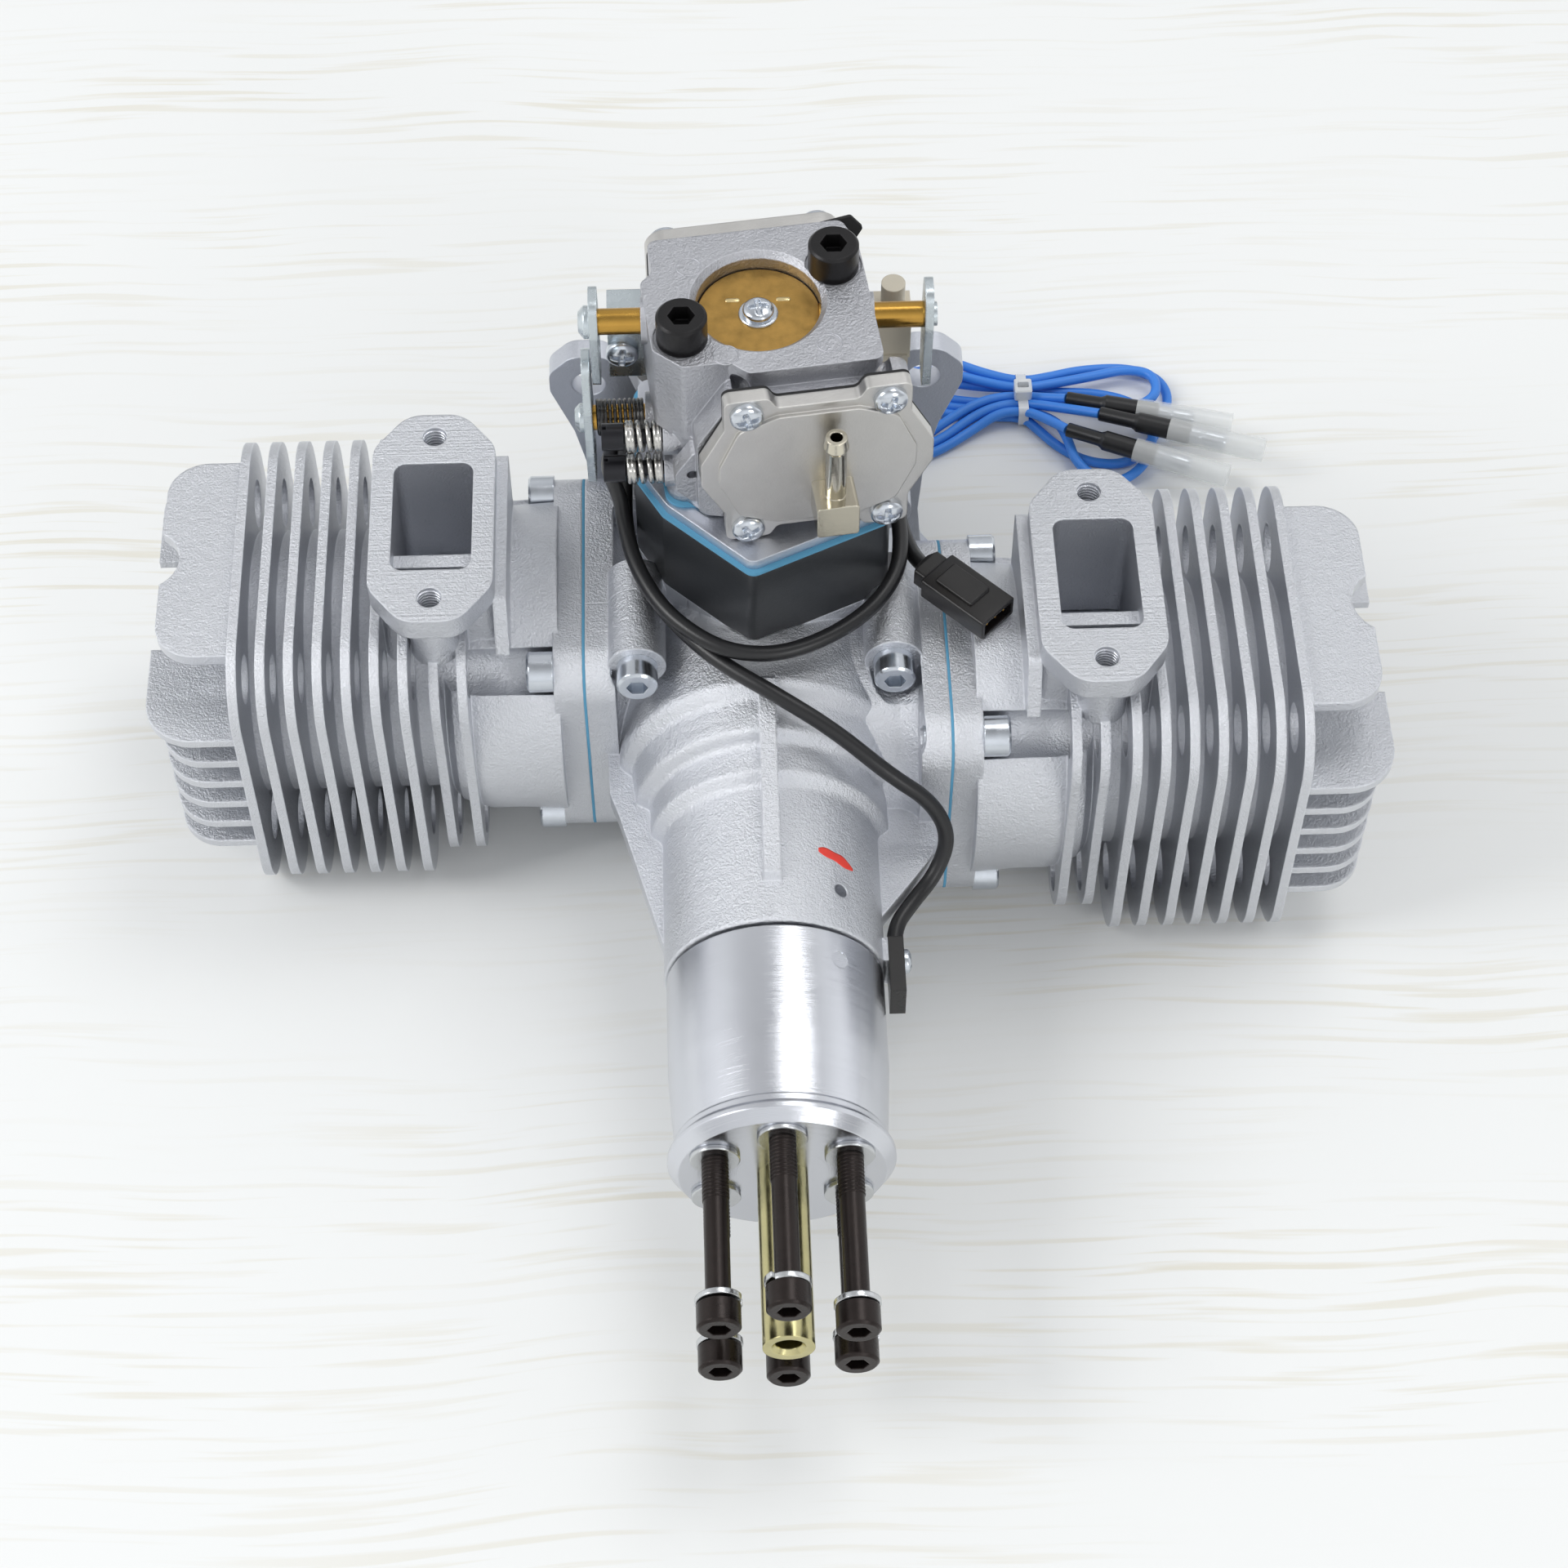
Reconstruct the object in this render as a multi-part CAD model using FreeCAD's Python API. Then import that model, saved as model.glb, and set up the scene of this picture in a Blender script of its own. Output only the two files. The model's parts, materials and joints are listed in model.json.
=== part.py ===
import FreeCAD, Part
import math
import os

# Flat twin two-stroke model aircraft engine with a rear starter machine.
# Frame in millimetres: the origin is on the crank axis at the rear face of the mount plate,
# +X points to the right-hand cylinder, -Y to the propeller, +Z to the carburettor.

V = FreeCAD.Vector

# Running gear
bore_r = 22.0
stroke = 33.0
rod_length = 60.0
running_gap = 0.07
side_gap = 0.3

# Crankcase
case_r = 31.0
case_rear_y = -5.0
chamber_r = 27.6
nose_r = 22.3
nose_front_y = -124.0
nose_step_r = 24.7
nose_step_y = -90.0
cone_front_y = -81.5
cone_front_r = 27.6
cone_rear_y = -72.0
case_split_y = -49.1
pad_half = 29.0
pad_corner = 9.0
pad_x = 37.0
pad_flange_t = 6.0
trunk_r = 25.5
column_x = 26.35
column_z = 27.4
column_r = 6.0
column_front_y = -64.6
column_rear_y = -41.0
plate_screw_z = 25.2

# Cylinders
cylinder_stagger = 19.4
cylinder_mid_y = -49.1
gasket_t = 0.6
base_flange_t = 6.0
spigot_depth = 5.0
skirt_r = 33.0
skirt_end_x = 65.0
barrel_r = 27.8
fin_t = 2.0
fin_pitch = 5.75
fin_outer_x = 109.0
fin_count = 7
short_fin_count = 2
fin_half_y = 37.0
fin_half_z = 37.5
fin_corner = 14.0
short_fin_half = 33.6
base_edge_y = 5.4
base_edge_z = 4.5
base_bolt_y = pad_half - base_edge_y
base_bolt_z = pad_half - base_edge_z
access_r = 5.1

# Exhaust flange
exhaust_x = 67.3
exhaust_top_z = 47.0
exhaust_t = 5.5
exhaust_half_x = 12.7
exhaust_half_y = 27.4
exhaust_hole_gap = 42.6
exhaust_hole_r = 2.5
exhaust_hole_depth = 8.0
port_half_x = 8.2
port_half_y = 14.1

# Head
head_top_z = 34.0
head_top_x = 124.2
head_top_half_y = 25.7
head_fin_x = 125.2
head_wide_x = 127.8
head_fin_half_y = 35.8
head_fin_first_z = 19.0
head_fin_pitch = 7.2
head_fin_count = 6
head_fin_t = 2.0
plug_tilt = 50.0
plug_r = 5.0
plug_seat = 19.0
plug_reach = 12.7
plug_clear_r = 10.2

# Intake
block_base_z = 30.0
block_h = 21.5
adaptor_t = 2.5
block_half_x = 25.8
block_front_y = -61.5
block_rear_y = -9.5
duct_half_x = 14.0
duct_half_y = 13.0

# Carburettor
carb_x = 0.0
carb_y = -28.0
carb_turn = 7.0
carb_top_z = 96.0
choke_bore_r = 12.3
venturi_r = 8.6
throttle_bore_r = 9.6
choke_z = 91.0
throttle_z = 63.0
brass_r = 2.6
disc_t = 1.1
disc_gap = 0.15
cover_gasket_t = 0.7
cover_t = 3.0
pump_cover_x = 7.8
pump_cover_z = 75.3
body_front_y = -18.6
body_step_z = 75.0
side_lug_x = -16.2
side_lug_z = 69.0
body_rear_y = 19.0

# Propeller hub
hub_face_y = -168.0
hub_flange_r = 22.3
hub_neck_r = 20.9
hub_rear_r = 21.9
hub_gap = 0.8
hub_flange_t = 5.2
bolt_circle_r = 15.0
prop_bolt_r = 2.5
prop_head_r = 4.25
prop_head_h = 5.0
prop_bolt_out = 37.0
prop_bolt_in = 14.0
sleeve_r = 5.0
sleeve_out = 37.0
sleeve_in = 12.0
sleeve_spigot_r = 4.0

# Mount plate and starter
plate_t = 5.0
mount_hole_x = 35.3
mount_hole_top_z = 47.6
mount_hole_low_z = -23.0
mount_hole_r = 3.5
ear_r = 8.2
waist_x = 35.4
starter_r = 29.0
starter_rear_y = 43.0
starter_gap_y = 4.2
starter_wall = 3.0
rear_shaft_r = 8.5

floor_z = -37.5
lead_r = 1.65
blue_r = 1.7

right_y = cylinder_mid_y - cylinder_stagger / 2
left_y = cylinder_mid_y + cylinder_stagger / 2
crank_r = stroke / 2


def outline(points, radii):
    """Closed planar wire through points (u, v) with tangent corner arcs."""
    count = len(points)
    if not isinstance(radii, (list, tuple)):
        radii = [radii] * count
    starts = []
    ends = []
    mids = []
    for i in range(count):
        p = V(points[i][0], points[i][1], 0)
        a = V(points[i - 1][0], points[i - 1][1], 0) - p
        b = V(points[(i + 1) % count][0], points[(i + 1) % count][1], 0) - p
        reach_a = a.Length
        reach_b = b.Length
        a.normalize()
        b.normalize()
        half = a.getAngle(b) / 2
        r = radii[i] if half < 1.56 else 0.0
        cut = r / math.tan(half) if r > 0 else 0.0
        limit = 0.49 * min(reach_a, reach_b)
        if cut > limit:
            cut = limit
            r = cut * math.tan(half)
        if r < 0.01:
            starts.append(p)
            ends.append(p)
            mids.append(None)
            continue
        bis = a + b
        bis.normalize()
        centre = p + bis * (r / math.sin(half))
        starts.append(p + a * cut)
        ends.append(p + b * cut)
        mids.append(centre - bis * r)
    edges = []
    for i in range(count):
        if mids[i] is not None:
            edges.append(Part.Arc(starts[i], mids[i], ends[i]).toShape())
        nxt = starts[(i + 1) % count]
        if (nxt - ends[i]).Length > 1e-6:
            edges.append(Part.LineSegment(ends[i], nxt).toShape())
    return Part.Wire(edges)


def prism(points, radii, plane, lo, hi):
    """Solid between lo and hi along the normal of plane, which is XY, YZ or XZ."""
    solid = Part.Face(outline(points, radii)).extrude(V(0, 0, hi - lo))
    if plane == "XZ":
        solid.translate(V(0, 0, -hi))
        solid.rotate(V(0, 0, 0), V(1, 0, 0), 90)
    else:
        solid.translate(V(0, 0, lo))
        if plane == "YZ":
            solid.rotate(V(0, 0, 0), V(1, 1, 1), 120)
    return solid


def box(x0, x1, y0, y1, z0, z1):
    return Part.makeBox(x1 - x0, y1 - y0, z1 - z0, V(x0, y0, z0))


def rod(r, start, end):
    a = V(*start)
    b = V(*end)
    return Part.makeCylinder(r, (b - a).Length, a, b - a)


def tube(r_out, r_in, start, end):
    return rod(r_out, start, end).cut(rod(r_in, start, end))


def turned(profile, axis="Y"):
    """Solid of revolution from (radius, station) points about the Y or X axis."""
    if axis == "Y":
        pts = [V(r, s, 0) for r, s in profile]
        spin = V(0, 1, 0)
    else:
        pts = [V(s, r, 0) for r, s in profile]
        spin = V(1, 0, 0)
    pts.append(pts[0])
    return Part.Face(Part.makePolygon(pts)).revolve(V(0, 0, 0), spin, 360)


def hexagon(across, depth, base, direction):
    pts = []
    for k in range(7):
        t = math.radians(60 * k)
        pts.append(V(across / math.sqrt(3) * math.cos(t), across / math.sqrt(3) * math.sin(t), 0))
    solid = Part.Face(Part.makePolygon(pts)).extrude(V(0, 0, depth))
    solid.Placement = FreeCAD.Placement(V(*base), FreeCAD.Rotation(V(0, 0, 1), V(*direction)))
    return solid


def socket_screw(r, length, head_r, head_h, seat, out):
    """Cap screw whose head stands on seat towards out and whose shank goes the other way."""
    o = V(*out)
    o.normalize()
    s = V(*seat)
    head = Part.makeCylinder(head_r, head_h, s, o)
    shank = Part.makeCylinder(r, length, s - o * length, o)
    top = s + o * head_h
    rim = Part.makeCone(head_r, head_r - 0.5, 0.5, top, o)
    screw = head.fuse([shank, rim])
    tip = top + o * 0.5 - o * (head_h * 0.6)
    return screw.cut(hexagon(head_r * 0.94, head_h, (tip.x, tip.y, tip.z), (o.x, o.y, o.z)))


def pan_screw(r, length, head_r, head_h, seat, out):
    o = V(*out)
    o.normalize()
    s = V(*seat)
    head = Part.makeCylinder(head_r, head_h * 0.5, s, o)
    cap = Part.makeCone(head_r, head_r * 0.62, head_h * 0.5, s + o * (head_h * 0.5), o)
    shank = Part.makeCylinder(r, length, s - o * length, o)
    return head.fuse([cap, shank])


def route(points, r):
    """Round tube along straight runs joined by tangent arcs; prints its bend radii."""
    pts = [V(*p) for p in points]
    edges = []
    last = pts[0]
    length = 0.0
    radii = []
    for i in range(1, len(pts) - 1):
        a = pts[i - 1] - pts[i]
        b = pts[i + 1] - pts[i]
        run = min(a.Length, b.Length)
        a.normalize()
        b.normalize()
        inner = a.getAngle(b)
        half_turn = (math.pi - inner) / 2
        cut = 0.45 * run
        bend = cut / math.tan(half_turn)
        radii.append(round(bend, 1))
        bis = a + b
        bis.normalize()
        centre = pts[i] + bis * (bend / math.cos(half_turn))
        start = pts[i] + a * cut
        end = pts[i] + b * cut
        edges.append(Part.LineSegment(last, start).toShape())
        edges.append(Part.Arc(start, centre - bis * bend, end).toShape())
        length += (start - last).Length + bend * 2 * half_turn
        last = end
    edges.append(Part.LineSegment(last, pts[-1]).toShape())
    length += (pts[-1] - last).Length
    path = Part.Wire(edges)
    first = pts[1] - pts[0]
    ring = Part.Wire([Part.Circle(pts[0], first, r).toShape()])
    solid = path.makePipeShell([ring], True, False)
    ratio = solid.Volume / (math.pi * r * r * length)
    print("route length", round(length, 1), "volume ratio", round(ratio, 4), "radii", radii)
    return solid


def fused(parts):
    return parts[0].fuse(parts[1:]).removeSplitter()


def group(parts):
    return Part.makeCompound(parts)


def save(name, shape):
    solids = shape.Solids
    good = all(s.isValid() for s in solids)
    print(name, "solids", len(solids), "valid", good, "volume", round(sum(s.Volume for s in solids), 1))
    shape = solids[0] if len(solids) == 1 else Part.makeCompound(solids)
    shape.exportStep(os.path.join("parts", name + ".step"))


def square(half_y, half_z, cy=0.0):
    return [(cy - half_y, -half_z), (cy + half_y, -half_z), (cy + half_y, half_z), (cy - half_y, half_z)]


os.makedirs("parts", exist_ok=True)

# Crank train stations along Y: each rod runs in a slab of its own between two discs
rod_slab = 6.2
web_r = 26.6
front_web_y0 = right_y - rod_slab - 10.0
front_web_y1 = right_y - rod_slab
mid_web_y0 = right_y + rod_slab
mid_web_y1 = left_y - rod_slab
rear_web_y0 = left_y + rod_slab
rear_web_y1 = rear_web_y0 + 9.0
chamber_y0 = front_web_y0 - 1.0
chamber_y1 = rear_web_y1 + 1.0
front_shaft_r = 8.5
bearing_r = 15.0
bearing_w = 9.0
nose_bearing_y = nose_front_y + 8.0

# Crankcase body, turned with rounded steps
profile = [
    (0, nose_front_y),
    (nose_r, nose_front_y),
    (nose_r, nose_step_y - 1.6),
    (nose_step_r, nose_step_y + 0.4),
    (nose_step_r, cone_front_y - 1.5),
    (cone_front_r, cone_front_y),
    (cone_front_r + 0.8, cone_rear_y - 2.4),
    (case_r, cone_rear_y),
    (case_r, case_rear_y),
    (0, case_rear_y),
]
profile_radii = [0, 0.6, 2.2, 1.5, 1.8, 1.8, 2.4, 3.0, 0, 0]
case = Part.Face(outline(profile, profile_radii)).revolve(V(0, 0, 0), V(0, 1, 0), 360)
flange_x = pad_x - pad_flange_t
pieces = []
for side, cy in ((1, right_y), (-1, left_y)):
    plate = prism(square(pad_half, pad_half, cy), pad_corner, "YZ", flange_x, pad_x)
    trunk = turned([(0, 8.0), (trunk_r, 8.0), (trunk_r, flange_x - 3.5), (trunk_r + 1.2, flange_x - 1.2),
                    (trunk_r + 3.0, flange_x + 0.4), (0, flange_x + 0.4)], "X")
    trunk.translate(V(0, cy, 0))
    if side < 0:
        plate = plate.mirror(V(0, 0, 0), V(1, 0, 0))
        trunk = trunk.mirror(V(0, 0, 0), V(1, 0, 0))
    pieces += [plate, trunk]
for sx in (-1, 1):
    for sz in (-1, 1):
        pieces.append(rod(column_r, (sx * column_x, column_front_y, sz * column_z),
                          (sx * column_x, column_rear_y, sz * column_z)))
        pieces.append(rod(column_r, (sx * column_x, case_rear_y - 18.0, sz * plate_screw_z),
                          (sx * column_x, case_rear_y, sz * plate_screw_z)))
block_plan = [
    (-2.5, block_front_y),
    (block_half_x, block_front_y + 13.2),
    (block_half_x, block_rear_y),
    (-block_half_x, block_rear_y),
    (-block_half_x, block_front_y + 26.5),
    (-20.2, block_front_y + 16.4),
]
block_radii = [2.5, 2.5, 4.2, 4.2, 2.5, 2.5]
platform = prism(block_plan, block_radii, "XY", 18.0, block_base_z)
pieces.append(platform)
rib_front_y = nose_front_y + 8.0
for sz in (-1, 1):
    rib = [(rib_front_y, sz * (nose_r - 2)), (rib_front_y + 2.5, sz * (nose_r + 1.6)),
           (nose_step_y, sz * (nose_step_r + 1.8)), (cone_rear_y, sz * (case_r + 1.2)),
           (cone_rear_y + 6, sz * (case_r - 4)), (cone_rear_y, sz * 18)]
    pieces.append(prism(rib, 0, "YZ", -1.7, 1.7))
web_t = 2.2
left_web = [(0, case_split_y - 2), (0, nose_front_y + 10), (-nose_r + 1, nose_front_y + 4),
            (-31.0, nose_step_y + 5.5), (-33.0, cone_front_y + 3), (-34.0, case_split_y - 2)]
right_web = [(0, case_split_y - 2), (34, case_split_y - 2), (35.6, right_y - pad_half + 2),
             (35.2, nose_step_y - 4), (nose_r - 1, nose_front_y + 12), (0, nose_front_y + 14)]
pieces.append(prism(left_web, 0, "XY", -web_t, web_t))
pieces.append(prism(right_web, 0, "XY", -web_t, web_t))
sensor_y0 = nose_front_y - 4.0
sensor_y1 = nose_front_y + 7.0
lug = box(nose_r - 3, nose_r + 0.6, nose_front_y + 1.2, sensor_y1 - 0.4, -4.6, 4.6)
pieces.append(lug)
case = fused([case] + pieces)

# Hollows of the crankcase
hollow = [
    rod(chamber_r, (0, chamber_y0, 0), (0, chamber_y1, 0)),
    rod(front_shaft_r + 1.2, (0, nose_front_y - 1, 0), (0, chamber_y0 + 1, 0)),
    rod(bearing_r, (0, chamber_y0 - bearing_w, 0), (0, chamber_y0 + 1, 0)),
    rod(bearing_r, (0, nose_front_y - 1, 0), (0, nose_bearing_y + bearing_w, 0)),
    rod(bearing_r, (0, chamber_y1 - 1, 0), (0, chamber_y1 + bearing_w, 0)),
    rod(rear_shaft_r + 1.2, (0, chamber_y1, 0), (0, 1, 0)),
    box(-duct_half_x, duct_half_x, carb_y - duct_half_y, carb_y + duct_half_y, 0, block_base_z + 1),
]
spigot_r = bore_r + 1.6
for sx, cy in ((1, right_y), (-1, left_y)):
    hollow.append(rod(spigot_r, (0, cy, 0), (sx * (pad_x + 1), cy, 0)))
    for by in (-base_bolt_y, base_bolt_y):
        for bz in (-base_bolt_z, base_bolt_z):
            hollow.append(rod(2.5, (sx * (pad_x - 6.5), cy + by, bz), (sx * (pad_x + 1), cy + by, bz)))
screw_head_r = 4.25
screw_head_h = 5.0
base_screw_length = 12.0
for sx in (-1, 1):
    for sz in (-1, 1):
        hollow.append(rod(5.6, (sx * column_x, column_front_y - 40, sz * column_z),
                          (sx * column_x, column_front_y, sz * column_z)))
        hollow.append(rod(2.6, (sx * column_x, column_front_y - 1, sz * column_z),
                          (sx * column_x, column_rear_y - 1.5, sz * column_z)))
        hollow.append(rod(2.6, (sx * column_x, case_rear_y - 14, sz * plate_screw_z),
                          (sx * column_x, case_rear_y + 1, sz * plate_screw_z)))
nose_hole_y = nose_front_y + 9.5
hollow.append(rod(1.5, (12.2, nose_hole_y, 15), (14.6, nose_hole_y, 20.4)))
hollow.append(prism(block_plan, block_radii, "XY", block_base_z, block_base_z + 5))
hollow.append(rod(1.3, (nose_r - 3, nose_front_y + 3.6, 0), (nose_r + 2, nose_front_y + 3.6, 0)))
case = case.cut(hollow)
front_half = case.common(box(-60, 60, -200, case_split_y, -60, 60))
rear_half = case.common(box(-60, 60, case_split_y, 20, -60, 60))
save("crankcase_front", front_half)
save("crankcase_rear", rear_half)

case_screws = []
for sx in (-1, 1):
    for sz in (-1, 1):
        case_screws.append(socket_screw(2.5, 20.0, screw_head_r, screw_head_h,
                                        (sx * column_x, column_front_y, sz * column_z), (0, -1, 0)))


def cylinder_casting():
    """Right-hand cylinder about its own axis at y = 0; the left one is its mirror image."""
    x0 = pad_x + gasket_t
    seat_x = x0 + base_flange_t
    fin_x0 = fin_outer_x - fin_t
    solids = [
        prism(square(pad_half, pad_half), pad_corner, "YZ", x0, seat_x),
        rod(spigot_r - 0.1, (pad_x - spigot_depth, 0, 0), (x0 + 1, 0, 0)),
        turned([(0, seat_x - 1), (skirt_r + 0.6, seat_x - 1), (skirt_r, seat_x + 9), (skirt_r, skirt_end_x - 6),
                (skirt_r - 2.0, skirt_end_x), (barrel_r, skirt_end_x + 2.5), (0, skirt_end_x + 2.5)], "X"),
        turned([(0, skirt_end_x), (barrel_r, skirt_end_x), (barrel_r, fin_x0 + 3), (barrel_r - 5, fin_x0 + 8.0),
                (barrel_r - 14, fin_x0 + 11.0), (0, fin_x0 + 11.0)], "X"),
    ]
    for k in range(fin_count + short_fin_count):
        x = fin_x0 - k * fin_pitch
        if k < fin_count:
            solids.append(prism(square(fin_half_y, fin_half_z), fin_corner, "YZ", x, x + fin_t))
        else:
            solids.append(prism(square(short_fin_half, short_fin_half), fin_corner, "YZ", x, x + fin_t))
    # Horizontal fins of the head
    for k in range(head_fin_count):
        z = head_fin_first_z - k * head_fin_pitch
        reach = head_wide_x if k == 0 else head_fin_x
        plan = [(fin_x0, -head_fin_half_y), (reach, -head_fin_half_y), (reach, head_fin_half_y),
                (fin_x0, head_fin_half_y)]
        solids.append(prism(plan, [0, 11, 11, 0], "XY", z - head_fin_t / 2, z + head_fin_t / 2))
    top_plan = [(fin_x0, -head_top_half_y), (head_top_x, -head_top_half_y), (head_top_x, head_top_half_y),
                (fin_x0, head_top_half_y)]
    solids.append(prism(top_plan, [0, 11, 11, 0], "XY", head_top_z - 1.3, head_top_z + 1.3))
    # Plate that carries the top fin, seen behind it
    solids.append(box(fin_x0, fin_x0 + 8, -3, 3, -20, head_top_z))
    tilt = math.radians(plug_tilt)
    ax = V(math.cos(tilt), 0, math.sin(tilt))
    root = V(fin_outer_x - 9.0, 0, 0)
    seat_point = root + ax * plug_seat
    solids.append(Part.makeCylinder(9.2, plug_seat, root, ax))
    # Exhaust duct, its flange and the side walls
    flange_plan = []
    for sx, sy in ((-1, -1), (1, -1), (1, 1), (-1, 1)):
        if sx * sy > 0:
            order = ((exhaust_half_x, 18.4), (5.8, exhaust_half_y))
        else:
            order = ((5.8, exhaust_half_y), (exhaust_half_x, 18.4))
        for px, py in order:
            flange_plan.append((exhaust_x + sx * px, sy * py))
    solids.append(prism(flange_plan, 6.5, "XY", exhaust_top_z - exhaust_t, exhaust_top_z))
    duct = [(exhaust_x - exhaust_half_x, -17.5), (exhaust_x + exhaust_half_x - 1.5, -17.5),
            (exhaust_x + exhaust_half_x - 1.5, 17.5), (exhaust_x - exhaust_half_x, 17.5)]
    solids.append(prism(duct, 2.5, "XY", 18, exhaust_top_z - 1))
    wall = [(-18.0, 42.0), (-24.0, 27.0), (-20.0, 22.0), (19.0, 22.0), (20.0, 43.0)]
    solids.append(prism(wall, 1.5, "YZ", exhaust_x - 15.0, exhaust_x - 12.2))
    bridge_x = exhaust_x + exhaust_half_x - 2
    solids.append(box(bridge_x, fin_x0 - (fin_count - 2) * fin_pitch + 1, -12, 12, 26, exhaust_top_z - 5))
    for sy in (-1, 1):
        solids.append(rod(5.0, (exhaust_x, sy * exhaust_hole_gap / 2, exhaust_top_z - 16),
                          (exhaust_x, sy * exhaust_hole_gap / 2, exhaust_top_z - 2)))
    body = fused(solids)
    cuts = [
        rod(bore_r, (0, 0, 0), (fin_outer_x - 13.0, 0, 0)),
        Part.makeCone(bore_r, 9.0, 8.5, V(fin_outer_x - 13.0, 0, 0), V(1, 0, 0)),
        Part.makeCylinder(plug_r, plug_seat + 30, root, ax),
        Part.makeCylinder(plug_r + 1.3, plug_seat - plug_reach + 2, root - ax * 2, ax),
        Part.makeCylinder(plug_clear_r, 14.0, seat_point, ax),
        prism([(fin_x0 + 5, -11.8), (head_wide_x + 5, -11.8), (head_wide_x + 5, 11.8), (fin_x0 + 5, 11.8)], 0,
              "XY", head_fin_first_z - 4.6, head_fin_first_z + 3),
        rod(8.0, (head_top_x + 4.3, 0, head_top_z - 3), (head_top_x + 4.3, 0, head_top_z + 3)),
    ]
    port = [(exhaust_x - port_half_x, -port_half_y), (exhaust_x + port_half_x, -port_half_y),
            (exhaust_x + port_half_x, port_half_y), (exhaust_x - port_half_x, port_half_y)]
    cuts.append(prism(port, 2.6, "XY", 14, exhaust_top_z + 1))
    for sy in (-1, 1):
        cuts.append(rod(exhaust_hole_r, (exhaust_x, sy * exhaust_hole_gap / 2, exhaust_top_z - exhaust_hole_depth),
                        (exhaust_x, sy * exhaust_hole_gap / 2, exhaust_top_z + 1)))
    for by in (-base_bolt_y, base_bolt_y):
        for bz in (-base_bolt_z, base_bolt_z):
            cuts.append(rod(access_r, (seat_x, by, bz), (fin_outer_x + 1, by, bz)))
            cuts.append(rod(2.6, (x0 - 1, by, bz), (seat_x + 1, by, bz)))
    body = body.cut(cuts)
    bar = box(exhaust_x - port_half_x - 1, exhaust_x + port_half_x + 1, -8.6, -5.4, 29, exhaust_top_z - 6)
    return body.fuse(bar).removeSplitter()


casting = cylinder_casting()
right_casting = casting.copy()
right_casting.translate(V(0, right_y, 0))
left_casting = casting.mirror(V(0, 0, 0), V(1, 0, 0))
left_casting.translate(V(0, left_y, 0))
save("cylinder_right", right_casting)
save("cylinder_left", left_casting)

base_gaskets = []
base_screws = []
for sx, cy in ((1, right_y), (-1, left_y)):
    gasket = prism(square(pad_half, pad_half, cy), pad_corner, "YZ", pad_x, pad_x + gasket_t)
    holes = [rod(spigot_r, (pad_x - 1, cy, 0), (pad_x + 2, cy, 0))]
    for by in (-base_bolt_y, base_bolt_y):
        for bz in (-base_bolt_z, base_bolt_z):
            holes.append(rod(2.6, (pad_x - 1, cy + by, bz), (pad_x + 2, cy + by, bz)))
            base_screws.append(socket_screw(2.45, base_screw_length, screw_head_r, screw_head_h,
                                            (sx * (pad_x + gasket_t + base_flange_t), cy + by, bz), (sx, 0, 0)))
    gasket = gasket.cut(holes)
    if sx < 0:
        gasket = gasket.mirror(V(0, 0, 0), V(1, 0, 0))
    base_gaskets.append(gasket)
save("base_gaskets", group(base_gaskets))
save("base_screws", group(base_screws))

# Bearings and nose seal
bearings = []
for y0 in (nose_bearing_y, chamber_y0 - bearing_w, chamber_y1):
    bearings.append(tube(bearing_r, front_shaft_r, (0, y0, 0), (0, y0 + bearing_w, 0)))
bearings.append(tube(bearing_r, front_shaft_r + 0.1, (0, nose_bearing_y - 6, 0), (0, nose_bearing_y - 0.5, 0)))
save("crank_bearings", group(bearings))

# Crankshaft in three pieces; the pins ride with the rods
hub_rear_y = nose_front_y - hub_gap
crank_front = turned([(0, hub_rear_y - 14), (front_shaft_r - 1, hub_rear_y - 14), (front_shaft_r, hub_rear_y - 13),
                      (front_shaft_r, front_web_y0), (web_r, front_web_y0), (web_r, front_web_y1 - side_gap),
                      (0, front_web_y1 - side_gap)])
save("crank_front", crank_front)
save("crank_mid", rod(web_r, (0, mid_web_y0 + side_gap, 0), (0, mid_web_y1 - side_gap, 0)))
bell_inner_y = starter_rear_y - 3.2
crank_rear = turned([(0, rear_web_y0 + side_gap), (web_r, rear_web_y0 + side_gap), (web_r, rear_web_y1),
                     (rear_shaft_r, rear_web_y1), (rear_shaft_r, bell_inner_y - 6), (6.0, bell_inner_y - 6),
                     (6.0, starter_rear_y + 5), (0, starter_rear_y + 5)])
save("crank_rear", crank_rear)

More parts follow.
